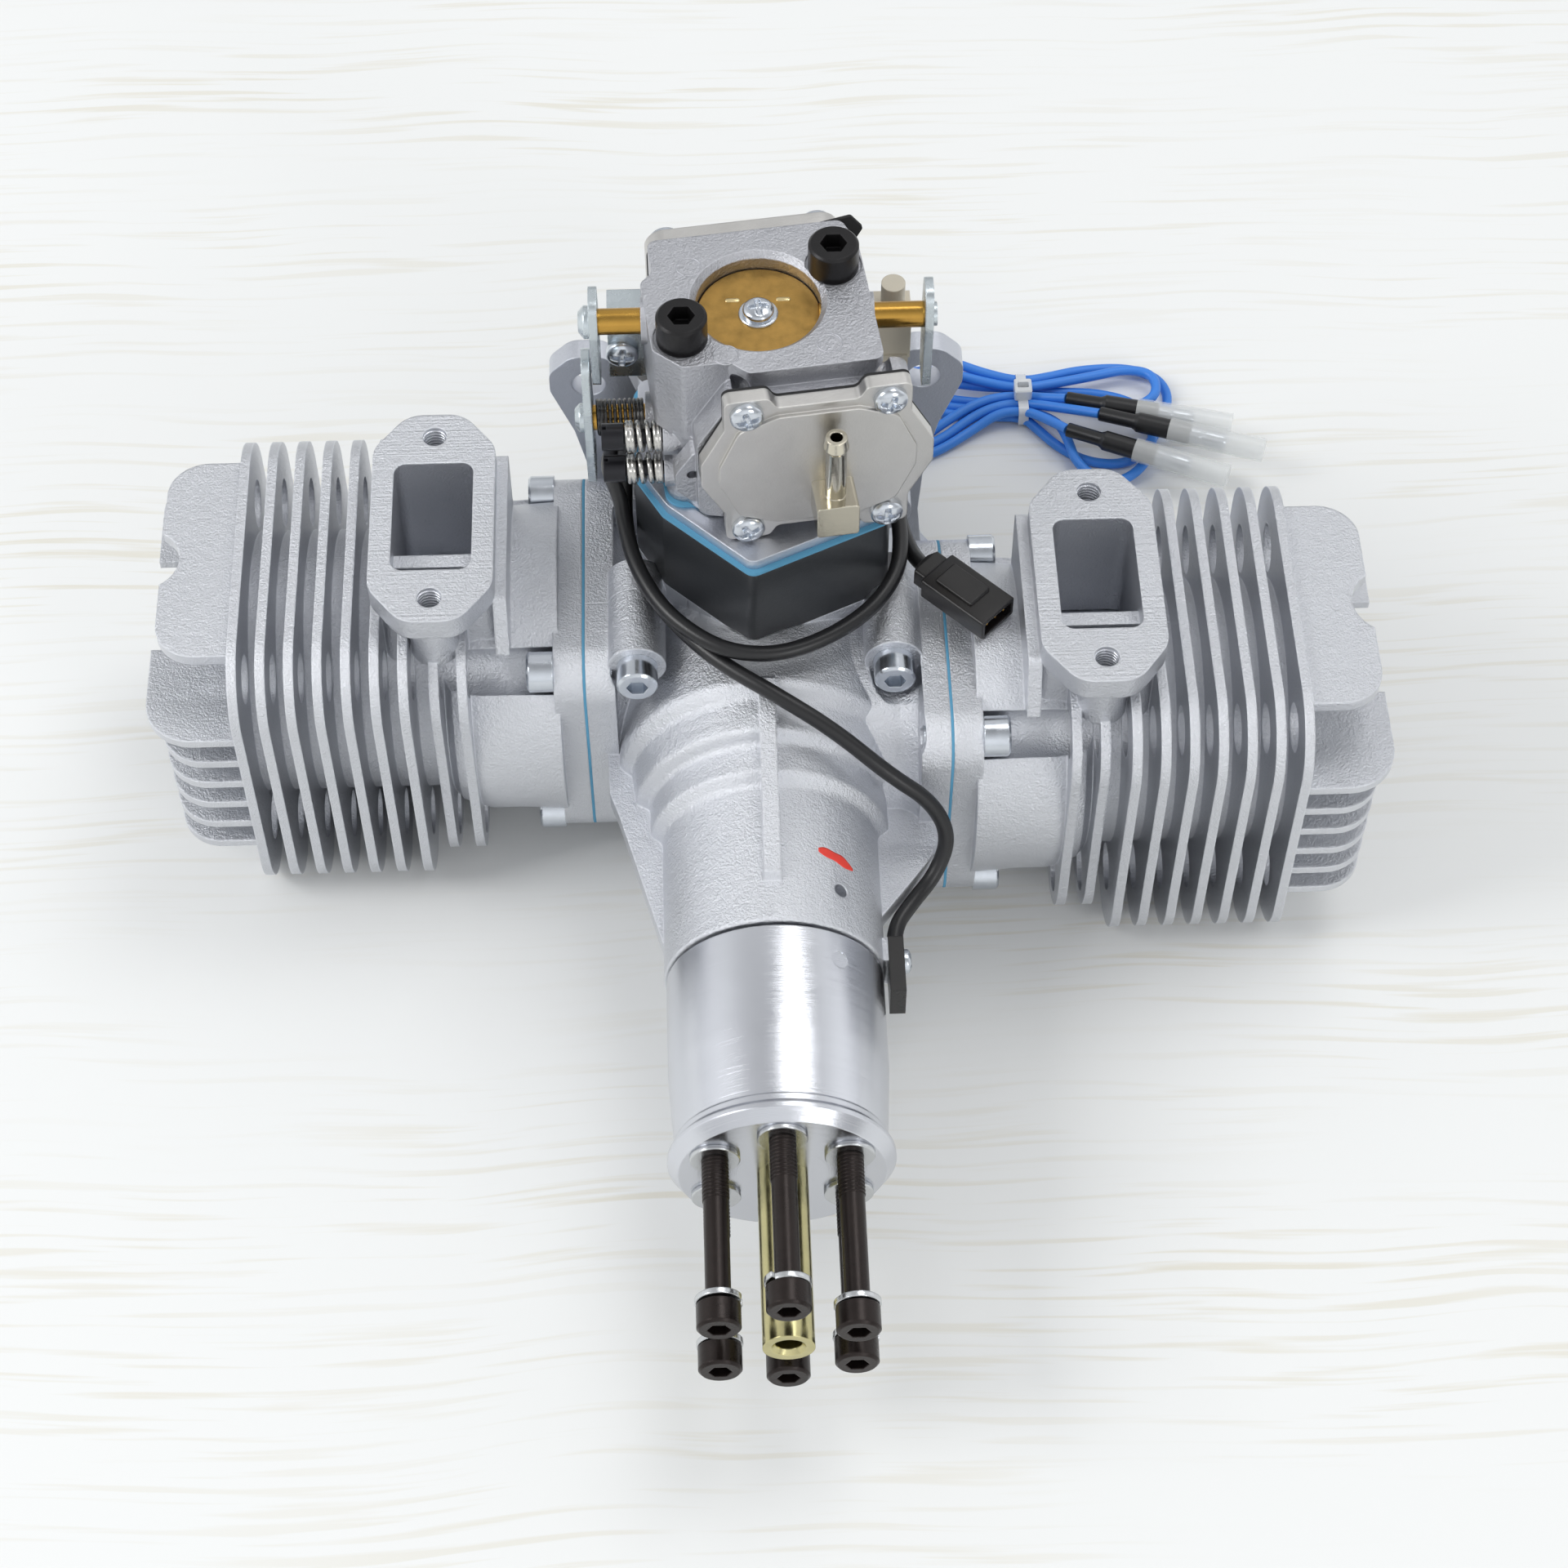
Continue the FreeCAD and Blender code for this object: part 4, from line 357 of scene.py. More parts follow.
def finish(name, colour, roughness, metallic=1.0, grain=1500.0, grain_height=0.0, stain=0.1,
           stain_scale=60.0, marks=None, lines=4.0, marks_height=0.0, marks_above=None, edge=0.0004,
           edge_highlight_paint=0.25, coat=0.0, rough_vary=0.12):
    """Material from a screen colour and a roughness. Lengths such as grain_height and edge are in metres;
    marks are "y" (lines across the crank axis) or "round_y" (rings and turning marks about it)."""
    mat, tree, shader = new_material(name)
    shader["Metallic"].default_value = metallic
    shader["Coat Weight"].default_value = coat
    shader["Coat Roughness"].default_value = 0.12
    place = tree.nodes.new("ShaderNodeTexCoord").outputs["Object"]
    grain_node = node(tree, "ShaderNodeGroup", node_tree=GRAIN)
    grain_node.inputs["Scale"].default_value = grain
    grain_node.inputs["Blotch Scale"].default_value = stain_scale
    tree.links.new(place, grain_node.inputs["Vector"])
    edges = node(tree, "ShaderNodeGroup", node_tree=EDGES)
    edges.inputs["Radius"].default_value = edge
    blotch = grain_node.outputs["Blotch"]
    # colour: stains darken it, and a painted highlight lightens it along edges
    stained = math_node(tree, "SUBTRACT", blotch, 0.5)
    tone = math_node(tree, "MULTIPLY_ADD", stained, stain * 2.0, 1.0)
    tone = math_node(tree, "ADD", tone, math_node(tree, "MULTIPLY", edges.outputs["Edge"], edge_highlight_paint))
    grey = tree.nodes.new("ShaderNodeCombineColor")
    for i in range(3):
        tree.links.new(tone, grey.inputs[i])
    tinted = mix_node(tree, 1.0, srgb(*colour), grey.outputs[0], blend="MULTIPLY")
    tree.links.new(tinted, shader["Base Color"])
    rough = math_node(tree, "MULTIPLY_ADD", stained, rough_vary * 2.0, roughness)
    tree.links.new(rough, shader["Roughness"])
    height = math_node(tree, "MULTIPLY", grain_node.outputs["Height"], grain_height)
    if marks:
        x, y, z = node(tree, "ShaderNodeSeparateXYZ", [("Vector", place)]).outputs
        value = y
        if marks == "round_y":
            squares = math_node(tree, "MULTIPLY_ADD", x, x, math_node(tree, "MULTIPLY", z, z))
            value = math_node(tree, "ADD", math_node(tree, "SQRT", squares), y)
        line = node(tree, "ShaderNodeGroup", [("Value", value)], node_tree=MARKS)
        line.inputs["Lines per mm"].default_value = lines
        lined = math_node(tree, "MULTIPLY", line.outputs[0], marks_height)
        if marks_above is not None:
            lined = math_node(tree, "MULTIPLY", lined, math_node(tree, "GREATER_THAN", z, marks_above))
        height = math_node(tree, "ADD", height, lined)
    bump = node(tree, "ShaderNodeBump", [("Height", height), ("Normal", edges.outputs["Normal"])],
                Strength=1.0)
    bump.inputs["Distance"].default_value = 1.0
    tree.links.new(bump.outputs[0], shader["Normal"])
    return mat


# %% The engine's finishes
MILLED_Z = 0.04685
F = {}
F["cast_aluminium"] = finish("blasted_cast_aluminium", (216, 218, 223), 0.34, grain=1900,
                             grain_height=0.00030, stain=0.05, stain_scale=45, edge=0.0006, edge_highlight_paint=0.25,
                             rough_vary=0.08)
F["cylinder_casting"] = finish("milled_cylinder_casting", (214, 216, 221), 0.36, grain=1900,
                               grain_height=0.00030, stain=0.05, stain_scale=45, edge=0.0006,
                               edge_highlight_paint=0.3, rough_vary=0.08, marks="y", lines=1.7,
                               marks_height=0.00016, marks_above=MILLED_Z)
F["machined_aluminium"] = finish("turned_aluminium", (214, 216, 222), 0.2, marks="round_y", lines=6.0,
                                 marks_height=0.00002, grain_height=0.000004, stain=0.05)
F["zinc_screw"] = finish("zinc_plated_screws", (206, 211, 218), 0.2, grain_height=0.00001, stain=0.12,
                         stain_scale=400)
F["black_screw"] = finish("black_oxide_screws", (34, 33, 34), 0.36, metallic=0.55, grain_height=0.00003,
                          stain=0.25, stain_scale=250, edge_highlight_paint=1.0)
F["brown_screw"] = finish("oiled_black_screws", (40, 33, 31), 0.3, metallic=0.6, grain_height=0.00003,
                          stain=0.3, stain_scale=250, edge_highlight_paint=0.8)
F["plain_washer"] = finish("plated_washers", (204, 206, 208), 0.22, grain_height=0.00002, marks="round_y",
                           lines=6.0, marks_height=0.00001, stain=0.12, stain_scale=300)
F["yellow_zinc"] = finish("yellow_passivated_zinc", (198, 190, 142), 0.22, grain_height=0.00001, stain=0.3,
                          stain_scale=160)
F["crank_steel"] = finish("ground_steel", (150, 150, 152), 0.3, marks="round_y", lines=6.0,
                          marks_height=0.00001)
F["blue_paper"] = finish("blue_gasket_paper", (86, 150, 184), 0.75, metallic=0.0, grain_height=0.00004,
                         edge_highlight_paint=0.1)
F["black_paper"] = finish("black_gasket_paper", (30, 30, 31), 0.8, metallic=0.0, grain_height=0.00005,
                          edge_highlight_paint=0.3)
F["black_block"] = finish("satin_black_block", (40, 42, 45), 0.34, metallic=0.0, grain=2200,
                          grain_height=0.00003, stain=0.2, stain_scale=80, edge_highlight_paint=0.8, coat=0.15)
F["plate_aluminium"] = finish("matte_plate", (208, 211, 219), 0.42, grain=1800, grain_height=0.00010,
                              stain=0.05, edge_highlight_paint=0.3)
F["zinc_casting"] = finish("die_cast_zinc", (186, 187, 192), 0.36, grain=1700, grain_height=0.00022,
                           stain=0.12, stain_scale=90, edge_highlight_paint=0.45)
F["nickel_cover"] = finish("dull_nickel", (204, 202, 199), 0.36, grain=2400, grain_height=0.00004,
                           stain=0.08, stain_scale=120, edge_highlight_paint=0.4)
F["bright_nickel"] = finish("bright_nickel", (206, 200, 184), 0.14, grain_height=0.00001, stain=0.1,
                            stain_scale=300)
F["brass"] = finish("satin_brass", (190, 148, 72), 0.24, grain_height=0.00001, stain=0.16, stain_scale=160)
F["dull_brass"] = finish("handled_brass", (176, 140, 78), 0.4, grain_height=0.00003, stain=0.4,
                         stain_scale=330, rough_vary=0.3)
# painted light: the real choke slots are holes, and this pale brass paints the brightness seen through them
F["pale_brass"] = finish("painted_slot_light_brass", (236, 214, 160), 0.3, grain_height=0.00001)
F["zinc_lever"] = finish("plated_levers", (200, 208, 212), 0.26, grain=1800, grain_height=0.00005,
                         stain=0.16, stain_scale=220, edge_highlight_paint=0.5)
F["spring_steel"] = finish("dark_spring_steel", (96, 95, 94), 0.26, grain_height=0.00001, stain=0.2,
                           stain_scale=400)
F["bright_spring"] = finish("bright_spring_wire", (196, 194, 190), 0.18, grain_height=0.00001, stain=0.1)
F["black_needle"] = finish("blackened_needles", (40, 40, 44), 0.3, metallic=0.6, stain=0.2, edge_highlight_paint=1.0)
F["nylon"] = finish("natural_nylon", (214, 206, 188), 0.5, metallic=0.0, grain_height=0.00003,
                    edge_highlight_paint=0.1)
F["black_bell"] = finish("satin_black_bell", (34, 34, 36), 0.4, metallic=0.3, grain_height=0.00002,
                         marks="round_y", lines=3.0, marks_height=0.00001, edge_highlight_paint=0.8)
F["stator_core"] = finish("lacquered_core", (96, 70, 50), 0.4, metallic=0.3, marks="y", lines=2.0,
                          marks_height=0.0001)
F["black_plastic"] = finish("black_plastic", (27, 25, 25), 0.3, metallic=0.0, grain_height=0.00002,
                            edge_highlight_paint=0.8)
F["black_lead"] = finish("black_lead_sheath", (24, 24, 26), 0.36, metallic=0.0, grain_height=0.00002,
                         edge_highlight_paint=0.2)
F["blue_lead"] = finish("blue_silicone", (58, 132, 224), 0.42, metallic=0.0, grain_height=0.00001,
                        stain=0.04, edge_highlight_paint=0.0)
F["red_paint"] = finish("red_paint", (226, 62, 48), 0.45, metallic=0.0, grain=900, grain_height=0.00004,
                        stain=0.1, stain_scale=900, edge_highlight_paint=0.0)


def clear_plastic(name, roughness, tint, alpha):
    """Thin see-through plastic: a glossy coat over a faint tint."""
    mat, tree, shader = new_material(name)
    for label, value in (("Base Color", tint), ("Roughness", roughness), ("Alpha", alpha), ("IOR", 1.45),
                         ("Coat Weight", 0.6)):
        shader[label].default_value = value
    return mat


F["clear_sleeve"] = clear_plastic("clear_sleeve", 0.12, (0.86, 0.88, 0.88, 1), 0.32)
F["tie_nylon"] = clear_plastic("tie_nylon", 0.35, (0.82, 0.84, 0.85, 1), 0.78)

slots = {s["node"]: s["material_slot"] for s in frame["record"]["subparts"]}
own = {"cylinder_left": "cylinder_casting", "cylinder_right": "cylinder_casting",
       "prop_bolts": "brown_screw", "fuel_nipple": "bright_nickel"}
for name, obj in frame["nodes"].items():
    obj.data.materials.clear()
    obj.data.materials.append(F[own.get(name, slots[name])])
print("finishes", len(F))

# %% [markdown]
# ## Smooth shading for the frame's meshes
# The frame's meshes are loose triangles. A small modifier welds them and shades them smooth,
# apart from edges sharper than 28 degrees, so barrels look turned and corners stay crisp.

# %% Weld and shade modifier
SHARP_EDGE = math.radians(28)


def build_shade_modifier():
    """Geometry nodes: merge the doubled points, shade faces smooth, keep sharp edges sharp."""
    tree = bpy.data.node_groups.new("weld_and_shade", "GeometryNodeTree")
    tree.interface.new_socket("Geometry", in_out="INPUT", socket_type="NodeSocketGeometry")
    tree.interface.new_socket("Geometry", in_out="OUTPUT", socket_type="NodeSocketGeometry")
    gi, go = tree.nodes.new("NodeGroupInput"), tree.nodes.new("NodeGroupOutput")
    weld = tree.nodes.new("GeometryNodeMergeByDistance")
    weld.inputs["Distance"].default_value = WELD_DISTANCE
    angle = tree.nodes.new("GeometryNodeInputMeshEdgeAngle")
    sharp = tree.nodes.new("FunctionNodeCompare")
    sharp.data_type, sharp.operation = "FLOAT", "GREATER_THAN"
    sharp.inputs[1].default_value = SHARP_EDGE
    faces = tree.nodes.new("GeometryNodeSetShadeSmooth")
    faces.domain = "FACE"
    edges = tree.nodes.new("GeometryNodeSetShadeSmooth")
    edges.domain = "EDGE"
    edges.inputs["Shade Smooth"].default_value = False
    for output, target in ((gi.outputs[0], weld.inputs["Geometry"]),
                           (weld.outputs[0], faces.inputs["Geometry"]),
                           (faces.outputs[0], edges.inputs["Geometry"]), (edges.outputs[0], go.inputs[0]),
                           (angle.outputs["Unsigned Angle"], sharp.inputs[0]),
                           (sharp.outputs[0], edges.inputs["Selection"])):
        tree.links.new(output, target)
    return tree


shade_tree = build_shade_modifier()
for obj in frame["nodes"].values():
    modifier = obj.modifiers.new("weld_and_shade", "NODES")
    modifier.node_group = shade_tree
print("shading modifier on", len(frame["nodes"]))

# %% [markdown]
# ## Floor and light
# A pale bench and three soft lamps, as in a light tent: the strongest on the left, one high up
# behind and the weakest in front. The tent's walls glow too, but the camera sees them plain white.

# %% Floor
FLOOR_HALF_WIDTH = 3.0
STREAK_BEND = 0.012
STREAK_SCALE_X, STREAK_SCALE_Y = 17.0, 460.0
STREAK_LEVEL, STREAK_CONTRAST = 0.47, 9.0
PATCH_SCALE = (5.0, 22.0, 1.0)
PATCH_LEVEL, PATCH_CONTRAST = 0.36, 3.2
BENCH_COLOUR, STREAK_COLOUR = (237, 238, 237), (226, 223, 212)


def floor_piece():
    """Pale laminate: thin bent streaks are where a stretched noise falls under a level, in patches."""
    mat, tree, shader = new_material("pale_bench")
    shader["Roughness"].default_value = 0.5
    shader["Specular IOR Level"].default_value = 0.3
    place = tree.nodes.new("ShaderNodeTexCoord").outputs["Object"]
    x, y, z = node(tree, "ShaderNodeSeparateXYZ", [("Vector", place)]).outputs
    sway = node(tree, "ShaderNodeTexNoise", [("Vector", place)], Scale=11.0, Detail=1.0)
    bent = math_node(tree, "ADD", y, math_node(tree, "MULTIPLY", sway.outputs[0], STREAK_BEND))
    spot = node(tree, "ShaderNodeCombineXYZ", [("X", math_node(tree, "MULTIPLY", x, STREAK_SCALE_X)),
                                               ("Y", math_node(tree, "MULTIPLY", bent, STREAK_SCALE_Y))])
    noise = node(tree, "ShaderNodeTexNoise", [("Vector", spot.outputs[0])],
                 Scale=1.0, Detail=2.0, Roughness=0.5)
    depth = math_node(tree, "SUBTRACT", STREAK_LEVEL, noise.outputs[0])
    streak = math_node(tree, "MULTIPLY", depth, STREAK_CONTRAST, clamp=True)
    spread = node(tree, "ShaderNodeMapping", [("Vector", place)])
    spread.inputs["Scale"].default_value = PATCH_SCALE
    noise = node(tree, "ShaderNodeTexNoise", [("Vector", spread.outputs[0])], Scale=1.0, Detail=2.0)
    depth = math_node(tree, "SUBTRACT", noise.outputs[0], PATCH_LEVEL)
    patch = math_node(tree, "MULTIPLY", depth, PATCH_CONTRAST, clamp=True)
    share = math_node(tree, "MULTIPLY", streak, patch)
    tree.links.new(mix_node(tree, share, srgb(*BENCH_COLOUR), srgb(*STREAK_COLOUR)), shader["Base Color"])
    size = FLOOR_HALF_WIDTH
    pts = [(-size, -size, FLOOR_Z), (size, -size, FLOOR_Z), (size, size, FLOOR_Z), (-size, size, FLOOR_Z)]
    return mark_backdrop(mesh_piece("bench", pts, [(0, 1, 2, 3)], mat, smooth=False))


floor_piece()

# %% Lamps and sky
LAMPS_AIM = Vector((0, -0.06, 0.02))


def lamp(name, location, energy, size):
    """Square soft lamp (watts, metres) that faces the engine's middle."""
    data = bpy.data.lights.new(name, "AREA")
    data.energy, data.size, data.shape = energy, size, "SQUARE"
    obj = bpy.data.objects.new(name, data)
    bpy.context.scene.collection.objects.link(obj)
    obj.location = location
    obj.rotation_euler = (Vector(location) - LAMPS_AIM).to_track_quat("Z", "Y").to_euler()


lamp("left_softbox", (-1.15, -0.25, 1.05), 8.2, 0.6)
lamp("top_softbox", (0.45, 0.35, 1.5), 5.2, 0.7)
lamp("front_fill", (0.8, -1.35, 0.75), 4.0, 0.5)

world = bpy.data.worlds.new("tent")
bpy.context.scene.world = world
world.use_nodes = True
wt = world.node_tree
background = wt.nodes["Background"]
direction = wt.nodes.new("ShaderNodeTexCoord").outputs["Generated"]


def bright_side(toward, sharpness, strength):
    """Glow about one direction of the tent: strength * max(cos of the angle to it, 0) ^ sharpness."""
    dot = wt.nodes.new("ShaderNodeVectorMath")
    dot.operation = "DOT_PRODUCT"
    wt.links.new(direction, dot.inputs[0])
    dot.inputs[1].default_value = Vector(toward).normalized()
    cosine = math_node(wt, "MAXIMUM", dot.outputs["Value"], 0.0)
    return math_node(wt, "MULTIPLY", math_node(wt, "POWER", cosine, sharpness), strength)


glow = 0.34
for toward, sharpness, strength in (((-1.0, 0.1, 0.35), 5.0, 0.9), ((1.0, 0.3, 0.3), 7.0, 0.8),
                                    ((0.1, 0.9, 0.75), 4.0, 0.42), ((0.0, -1.0, 0.3), 3.0, 0.75)):
    glow = math_node(wt, "ADD", bright_side(toward, sharpness, strength), glow)
seen_by_camera = wt.nodes.new("ShaderNodeLightPath").outputs["Is Camera Ray"]
strength = mix_node(wt, seen_by_camera, glow, 1.0, colour=False)
wt.links.new(strength, background.inputs["Strength"])
background.inputs["Color"].default_value = (0.97, 0.985, 1.0, 1)
bpy.context.scene.view_settings.view_transform = "Standard"
print("lamps and sky set")

# %% [markdown]
# ## Screws with cross recesses
# The covers of the carburettor are held by pan screws. A pan head is a square grid bent to a
# disc, so that its lines run along the recess: the dome comes from one formula, the cross from
# another that is taken off it. Booleans could cut the cross too, but leave ragged shading.

# %% Pan head
HEAD_LINES = [0.05, 0.115, 0.165, 0.215, 0.32, 0.45, 0.56, 0.63, 0.74, 0.85, 0.93, 0.98, 1.0]
ARM_HALF_WIDTH, ARM_WALL = 0.2, 0.07
ARM_REACH, ARM_END_SLOPE = 0.66, 0.1
RIM_HEIGHT, CROSS_DEPTH = 0.40, 0.62


def smooth_step(x):
    """0 below 0, 1 above 1, and 3x^2 - 2x^3 between them."""
    x = np.clip(x, 0.0, 1.0)
    return x * x * (3 - 2 * x)


def cross_arm(along, across):
    """One arm of the cross recess: 1 inside it and 0 outside, in parts of the head's radius."""
    return (smooth_step((ARM_HALF_WIDTH - abs(across)) / ARM_WALL)
            * smooth_step((ARM_REACH - abs(along)) / ARM_END_SLOPE))


def pan_head(name, seat, out, radius, height, spin):
    """x = u sqrt(1 - v^2/2), y = v sqrt(1 - u^2/2); z = dome(x, y) - depth of the cross(x, y)."""
    half = np.array(HEAD_LINES)
    line = np.concatenate([-half[::-1], half])
    gu, gv = np.meshgrid(line, line, indexing="ij")
    x, y = gu * np.sqrt(1 - gv ** 2 / 2), gv * np.sqrt(1 - gu ** 2 / 2)
    r = np.clip(np.hypot(x, y), 0, 1)
    dome = RIM_HEIGHT + (1 - RIM_HEIGHT) * np.sqrt(np.clip(1 - r ** 2.3, 0, 1))
    z = dome - np.maximum(cross_arm(x, y), cross_arm(y, x)) * (CROSS_DEPTH - 0.35 * r)
    u, v, w = axes_for(out)
    c, q = math.cos(spin), math.sin(spin)
    u, v = c * u + q * v, c * v - q * u
    top = np.stack([x * radius, y * radius, z * height], -1).reshape(-1, 3)
    n = len(line)
    order = np.arange(n * n).reshape(n, n)
    rim = np.concatenate([order[:-1, 0], order[-1, :-1], order[:0:-1, -1], order[0, :0:-1]])
    foot = top[rim].copy()
    foot[:, 2] = 0.0
    local = np.concatenate([top, foot])
    pts = np.asarray(seat, float) + local[:, :1] * u + local[:, 1:2] * v + local[:, 2:] * w
    faces = grid_faces(n, n, wrap_cols=False)
    k = np.arange(len(rim))
    faces += np.stack([rim, rim[(k + 1) % len(rim)], n * n + (k + 1) % len(rim), n * n + k], 1).tolist()
    faces.append((n * n + k).tolist())
    obj = mesh_piece(name, pts * MM, faces, F["zinc_screw"])
    fix_normals(obj)
    return shaded(obj, 40)


# %% Screws of the carburettor, the bracket and the sensor
CARB = np.array([0.0, -28.0, 0.0])
TURN = math.radians(7.0)
TURNED = np.array([[math.cos(TURN), -math.sin(TURN), 0], [math.sin(TURN), math.cos(TURN), 0], [0, 0, 1]])


def on_carb(x, y, z):
    """Place of a carburettor piece, drawn square to its covers and then turned in plan about the throat."""
    return TURNED @ np.array([x, y, z], float) + CARB


pan_places = [(on_carb(7.8 + sx * 13.95, -25.3, 75.3 + sz * 16.6), TURNED @ [0, -1, 0], 3.3, 2.4)
              for sx in (-1, 1) for sz in (-1, 1)]
pan_places += [(on_carb(x, 22.7, z), TURNED @ [0, 1, 0], 3.4, 2.6)
               for x in (-15.2, 15.2) for z in (60.8, 90.8)]
pan_places += [((-27.2, -22.0, 76.0), (0, -1, 0), 3.3, 2.4), ((26.1, -120.4, 0.0), (1, 0, 0), 2.5, 1.7)]
for k, (seat, out, radius, height) in enumerate(pan_places):
    piece = pan_head("pan_head_%d" % (k + 1), seat, out, radius, height, 0.5 + 1.3 * k)
    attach(piece, "engine")
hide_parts("small_screws")

# %% [markdown]
# ## Choke
# Looking down the throat one sees the brass choke disc with two bright slots and its screw. The
# disc is a turned profile without holes, and each slot is a small rounded pale bar let into it: painted
# light standing for the brightness seen through the real slots.

# %% Choke disc, its slots and its screw
choke_top = CARB + (0, 0, 92.1)
disc = turned([(0, -1.1), (11.95, -1.1), (12.1, -0.95), (12.1, -0.15), (11.95, 0), (0, 0)], choke_top,
              UP, F["dull_brass"], "choke_plate", around=96)
rim = turned([(0, -0.2), (3.9, -0.2), (3.9, 0.3), (3.65, 0.5), (0, 0.5)], choke_top, UP,
             F["zinc_screw"], "choke_screw_washer")
choke_head = pan_head("choke_screw_head", choke_top + (0, 0, 0.5), UP, 3.1, 1.9, 0.12)
choke_pieces = [(disc, "brass"), (rim, "zinc_screw"), (choke_head, "zinc_screw")]
slot_stations = [(0, 1.45, 0.52, 0.5), (0.42, 1.45, 0.52, 0.5), (0.52, 1.32, 0.40, 0.38)]
for label, x in (("left", -5.0), ("right", 5.0)):
    slot_bar = bar("choke_slot_" + label, choke_top + (x, 3.8, -0.4), UP, (0, 1, 0), slot_stations,
                   F["pale_brass"], 50)
    choke_pieces.append((slot_bar, "brass"))
for piece, slot in choke_pieces:
    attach(piece, "choke")
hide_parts("choke_disc")
print("choke pieces", len(choke_pieces))

# %% [markdown]
# ## Coil springs and threads
# A coil is a round wire swept along a helix. The needle springs are bright and open, the
# throttle's return spring is thin and dark. Tapped holes get the same helix, sunk halfway
# into the wall, so that only the crests of the thread show.

# %% Springs of the needles and the throttle
springs = []
for label, z in (("upper", 70.6), ("lower", 61.0)):
    coil = helix((-27.2, -40.0, z), (1, 0, 0), 2.75, 0.6, 7.2, 5.6, closed=0.55)
    springs.append(swept(coil, 0.55, F["bright_spring"], "needle_spring_" + label, around=10))
coil = helix((-33.2, -28.0, 63.0), (1, 0, 0), 3.4, 0.45, 9.7, 10.5, closed=0.2)
springs.append(swept(coil, 0.4, F["spring_steel"], "throttle_return_spring", around=8))
for piece in springs:
    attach(piece, "engine")
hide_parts("needle_springs")
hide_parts("throttle_spring")
print("springs", len(springs))

# %% Threads in the exhaust flanges and on the propeller screws
THREAD_THICKNESS = 0.34


def thread(name, base, direction, radius, depth, pitch, body, finish_name):
    """Turns of a thread about a line; the wire's radius is a fixed part of the pitch."""
    coil = helix(base, direction, radius, 0, depth, depth / pitch, per_turn=18)
    piece = swept(coil, pitch * THREAD_THICKNESS, F[finish_name], name, around=6)
    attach(piece, body)


for side, x, y in (("left", -67.3, -39.4), ("right", 67.3, -58.8)):
    for label, step in (("front", -21.3), ("rear", 21.3)):
        thread("exhaust_thread_%s_%s" % (side, label), (x, y + step, 39.6), UP, 2.5, 6.6, 0.85, "engine",
               "machined_aluminium")
BOLT_CIRCLE_RADIUS = 15.0
bolt_angles = np.radians(90 + 60 * np.arange(6))
bolt_places = BOLT_CIRCLE_RADIUS * np.stack([np.cos(bolt_angles), np.sin(bolt_angles)], 1)
bolt_seats = -200.0 + np.array([0.0, 0.4, -1.0, 0.8, -0.3, -0.9])
for k, (x, z) in enumerate(bolt_places):
    thread("prop_thread_%d" % (k + 1), (x, -169.2, z), (0, -1, 0), 2.40, 8.6, 0.8, "crankshaft",
           "brown_screw")
print("threads", 4 + len(bolt_places))

# %% [markdown]
# ## Washers of the propeller screws
# Each screw has a flat washer against the hub and a split spring washer under its head. The
# spring washer is a square section carried once round, rising a little, with its ends open.

# %% Flat and split washers
WASHER_END_ANGLE = 0.1


def split_washer(name, base, direction, inner, outer, thick, rise, start):
    """Section corners (r, h) carried over angle t: base + r(cos t u + sin t v) + (h + rise t / 2 pi) w."""
    u, v, w = axes_for(direction)
    t = np.linspace(WASHER_END_ANGLE, 2 * np.pi - WASHER_END_ANGLE, 56)
    r = np.array([inner, outer - 0.15, outer, outer, outer - 0.15, inner])
    h = np.array([0, 0, 0.15, thick - 0.15, thick, thick])
    spokes = np.cos(t + start)[:, None, None] * u + np.sin(t + start)[:, None, None] * v
    climb = h[None] + rise * t[:, None] / (2 * np.pi)
    pts = np.asarray(base, float) + r[None, :, None] * spokes + climb[..., None] * w
    faces = grid_faces(len(t), len(r)) + end_caps(len(t), len(r))
    obj = mesh_piece(name, pts.reshape(-1, 3) * MM, faces, F["plain_washer"])
    fix_normals(obj)
    return shaded(obj)


flat_section = [(2.55, 0), (4.75, 0), (4.9, 0.15), (4.9, 0.85), (4.75, 1.0), (2.55, 1.0)]
for k, ((x, z), seat) in enumerate(zip(bolt_places, bolt_seats)):
    flat = turned(flat_section, (x, -169.0, z), (0, 1, 0), F["plain_washer"], "flat_washer_%d" % (k + 1),
                  ring=True)
    spring = split_washer("spring_washer_%d" % (k + 1), (x, seat, z), (0, 1, 0), 2.55, 4.5, 1.2, 0.75,
                          0.9 + 2.1 * k)
    for piece in (flat, spring):
        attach(piece, "crankshaft")
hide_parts("prop_washers")

# %% [markdown]
# ## Marks of the foundry and the workshop
# Ejector pins leave shallow rings on the top of the die casting, and an inspector has put a dash
# of red paint on the nose. The dash follows the casting: it is a patch over angle and length
# whose points are dropped onto the nose towards the crank's axis.

# %% Ejector rings and paint dash
ridge = [(2.2, -0.1), (2.3, 0.08), (2.42, 0.12), (2.54, 0.08), (2.64, -0.1)]
for k, (x, y) in enumerate(((-13.4, -18.7), (13.4, -39.6), (-6.6, -42.2))):
    ring = turned(ridge, (x, y, 96.0), UP, F["zinc_casting"], "ejector_ring_%d" % (k + 1), around=40,
                  ring=True)
    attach(ring, "engine")

front_mesh = frame["nodes"]["crankcase_front"].data
nose_tree = BVHTree.FromPolygons([v.co for v in front_mesh.vertices],
                                 [tuple(f.vertices) for f in front_mesh.polygons])
RAY_START = 0.06
DASH_START, DASH_END = 24.6, 46.3
DASH_HALF_WIDTH = 1.25


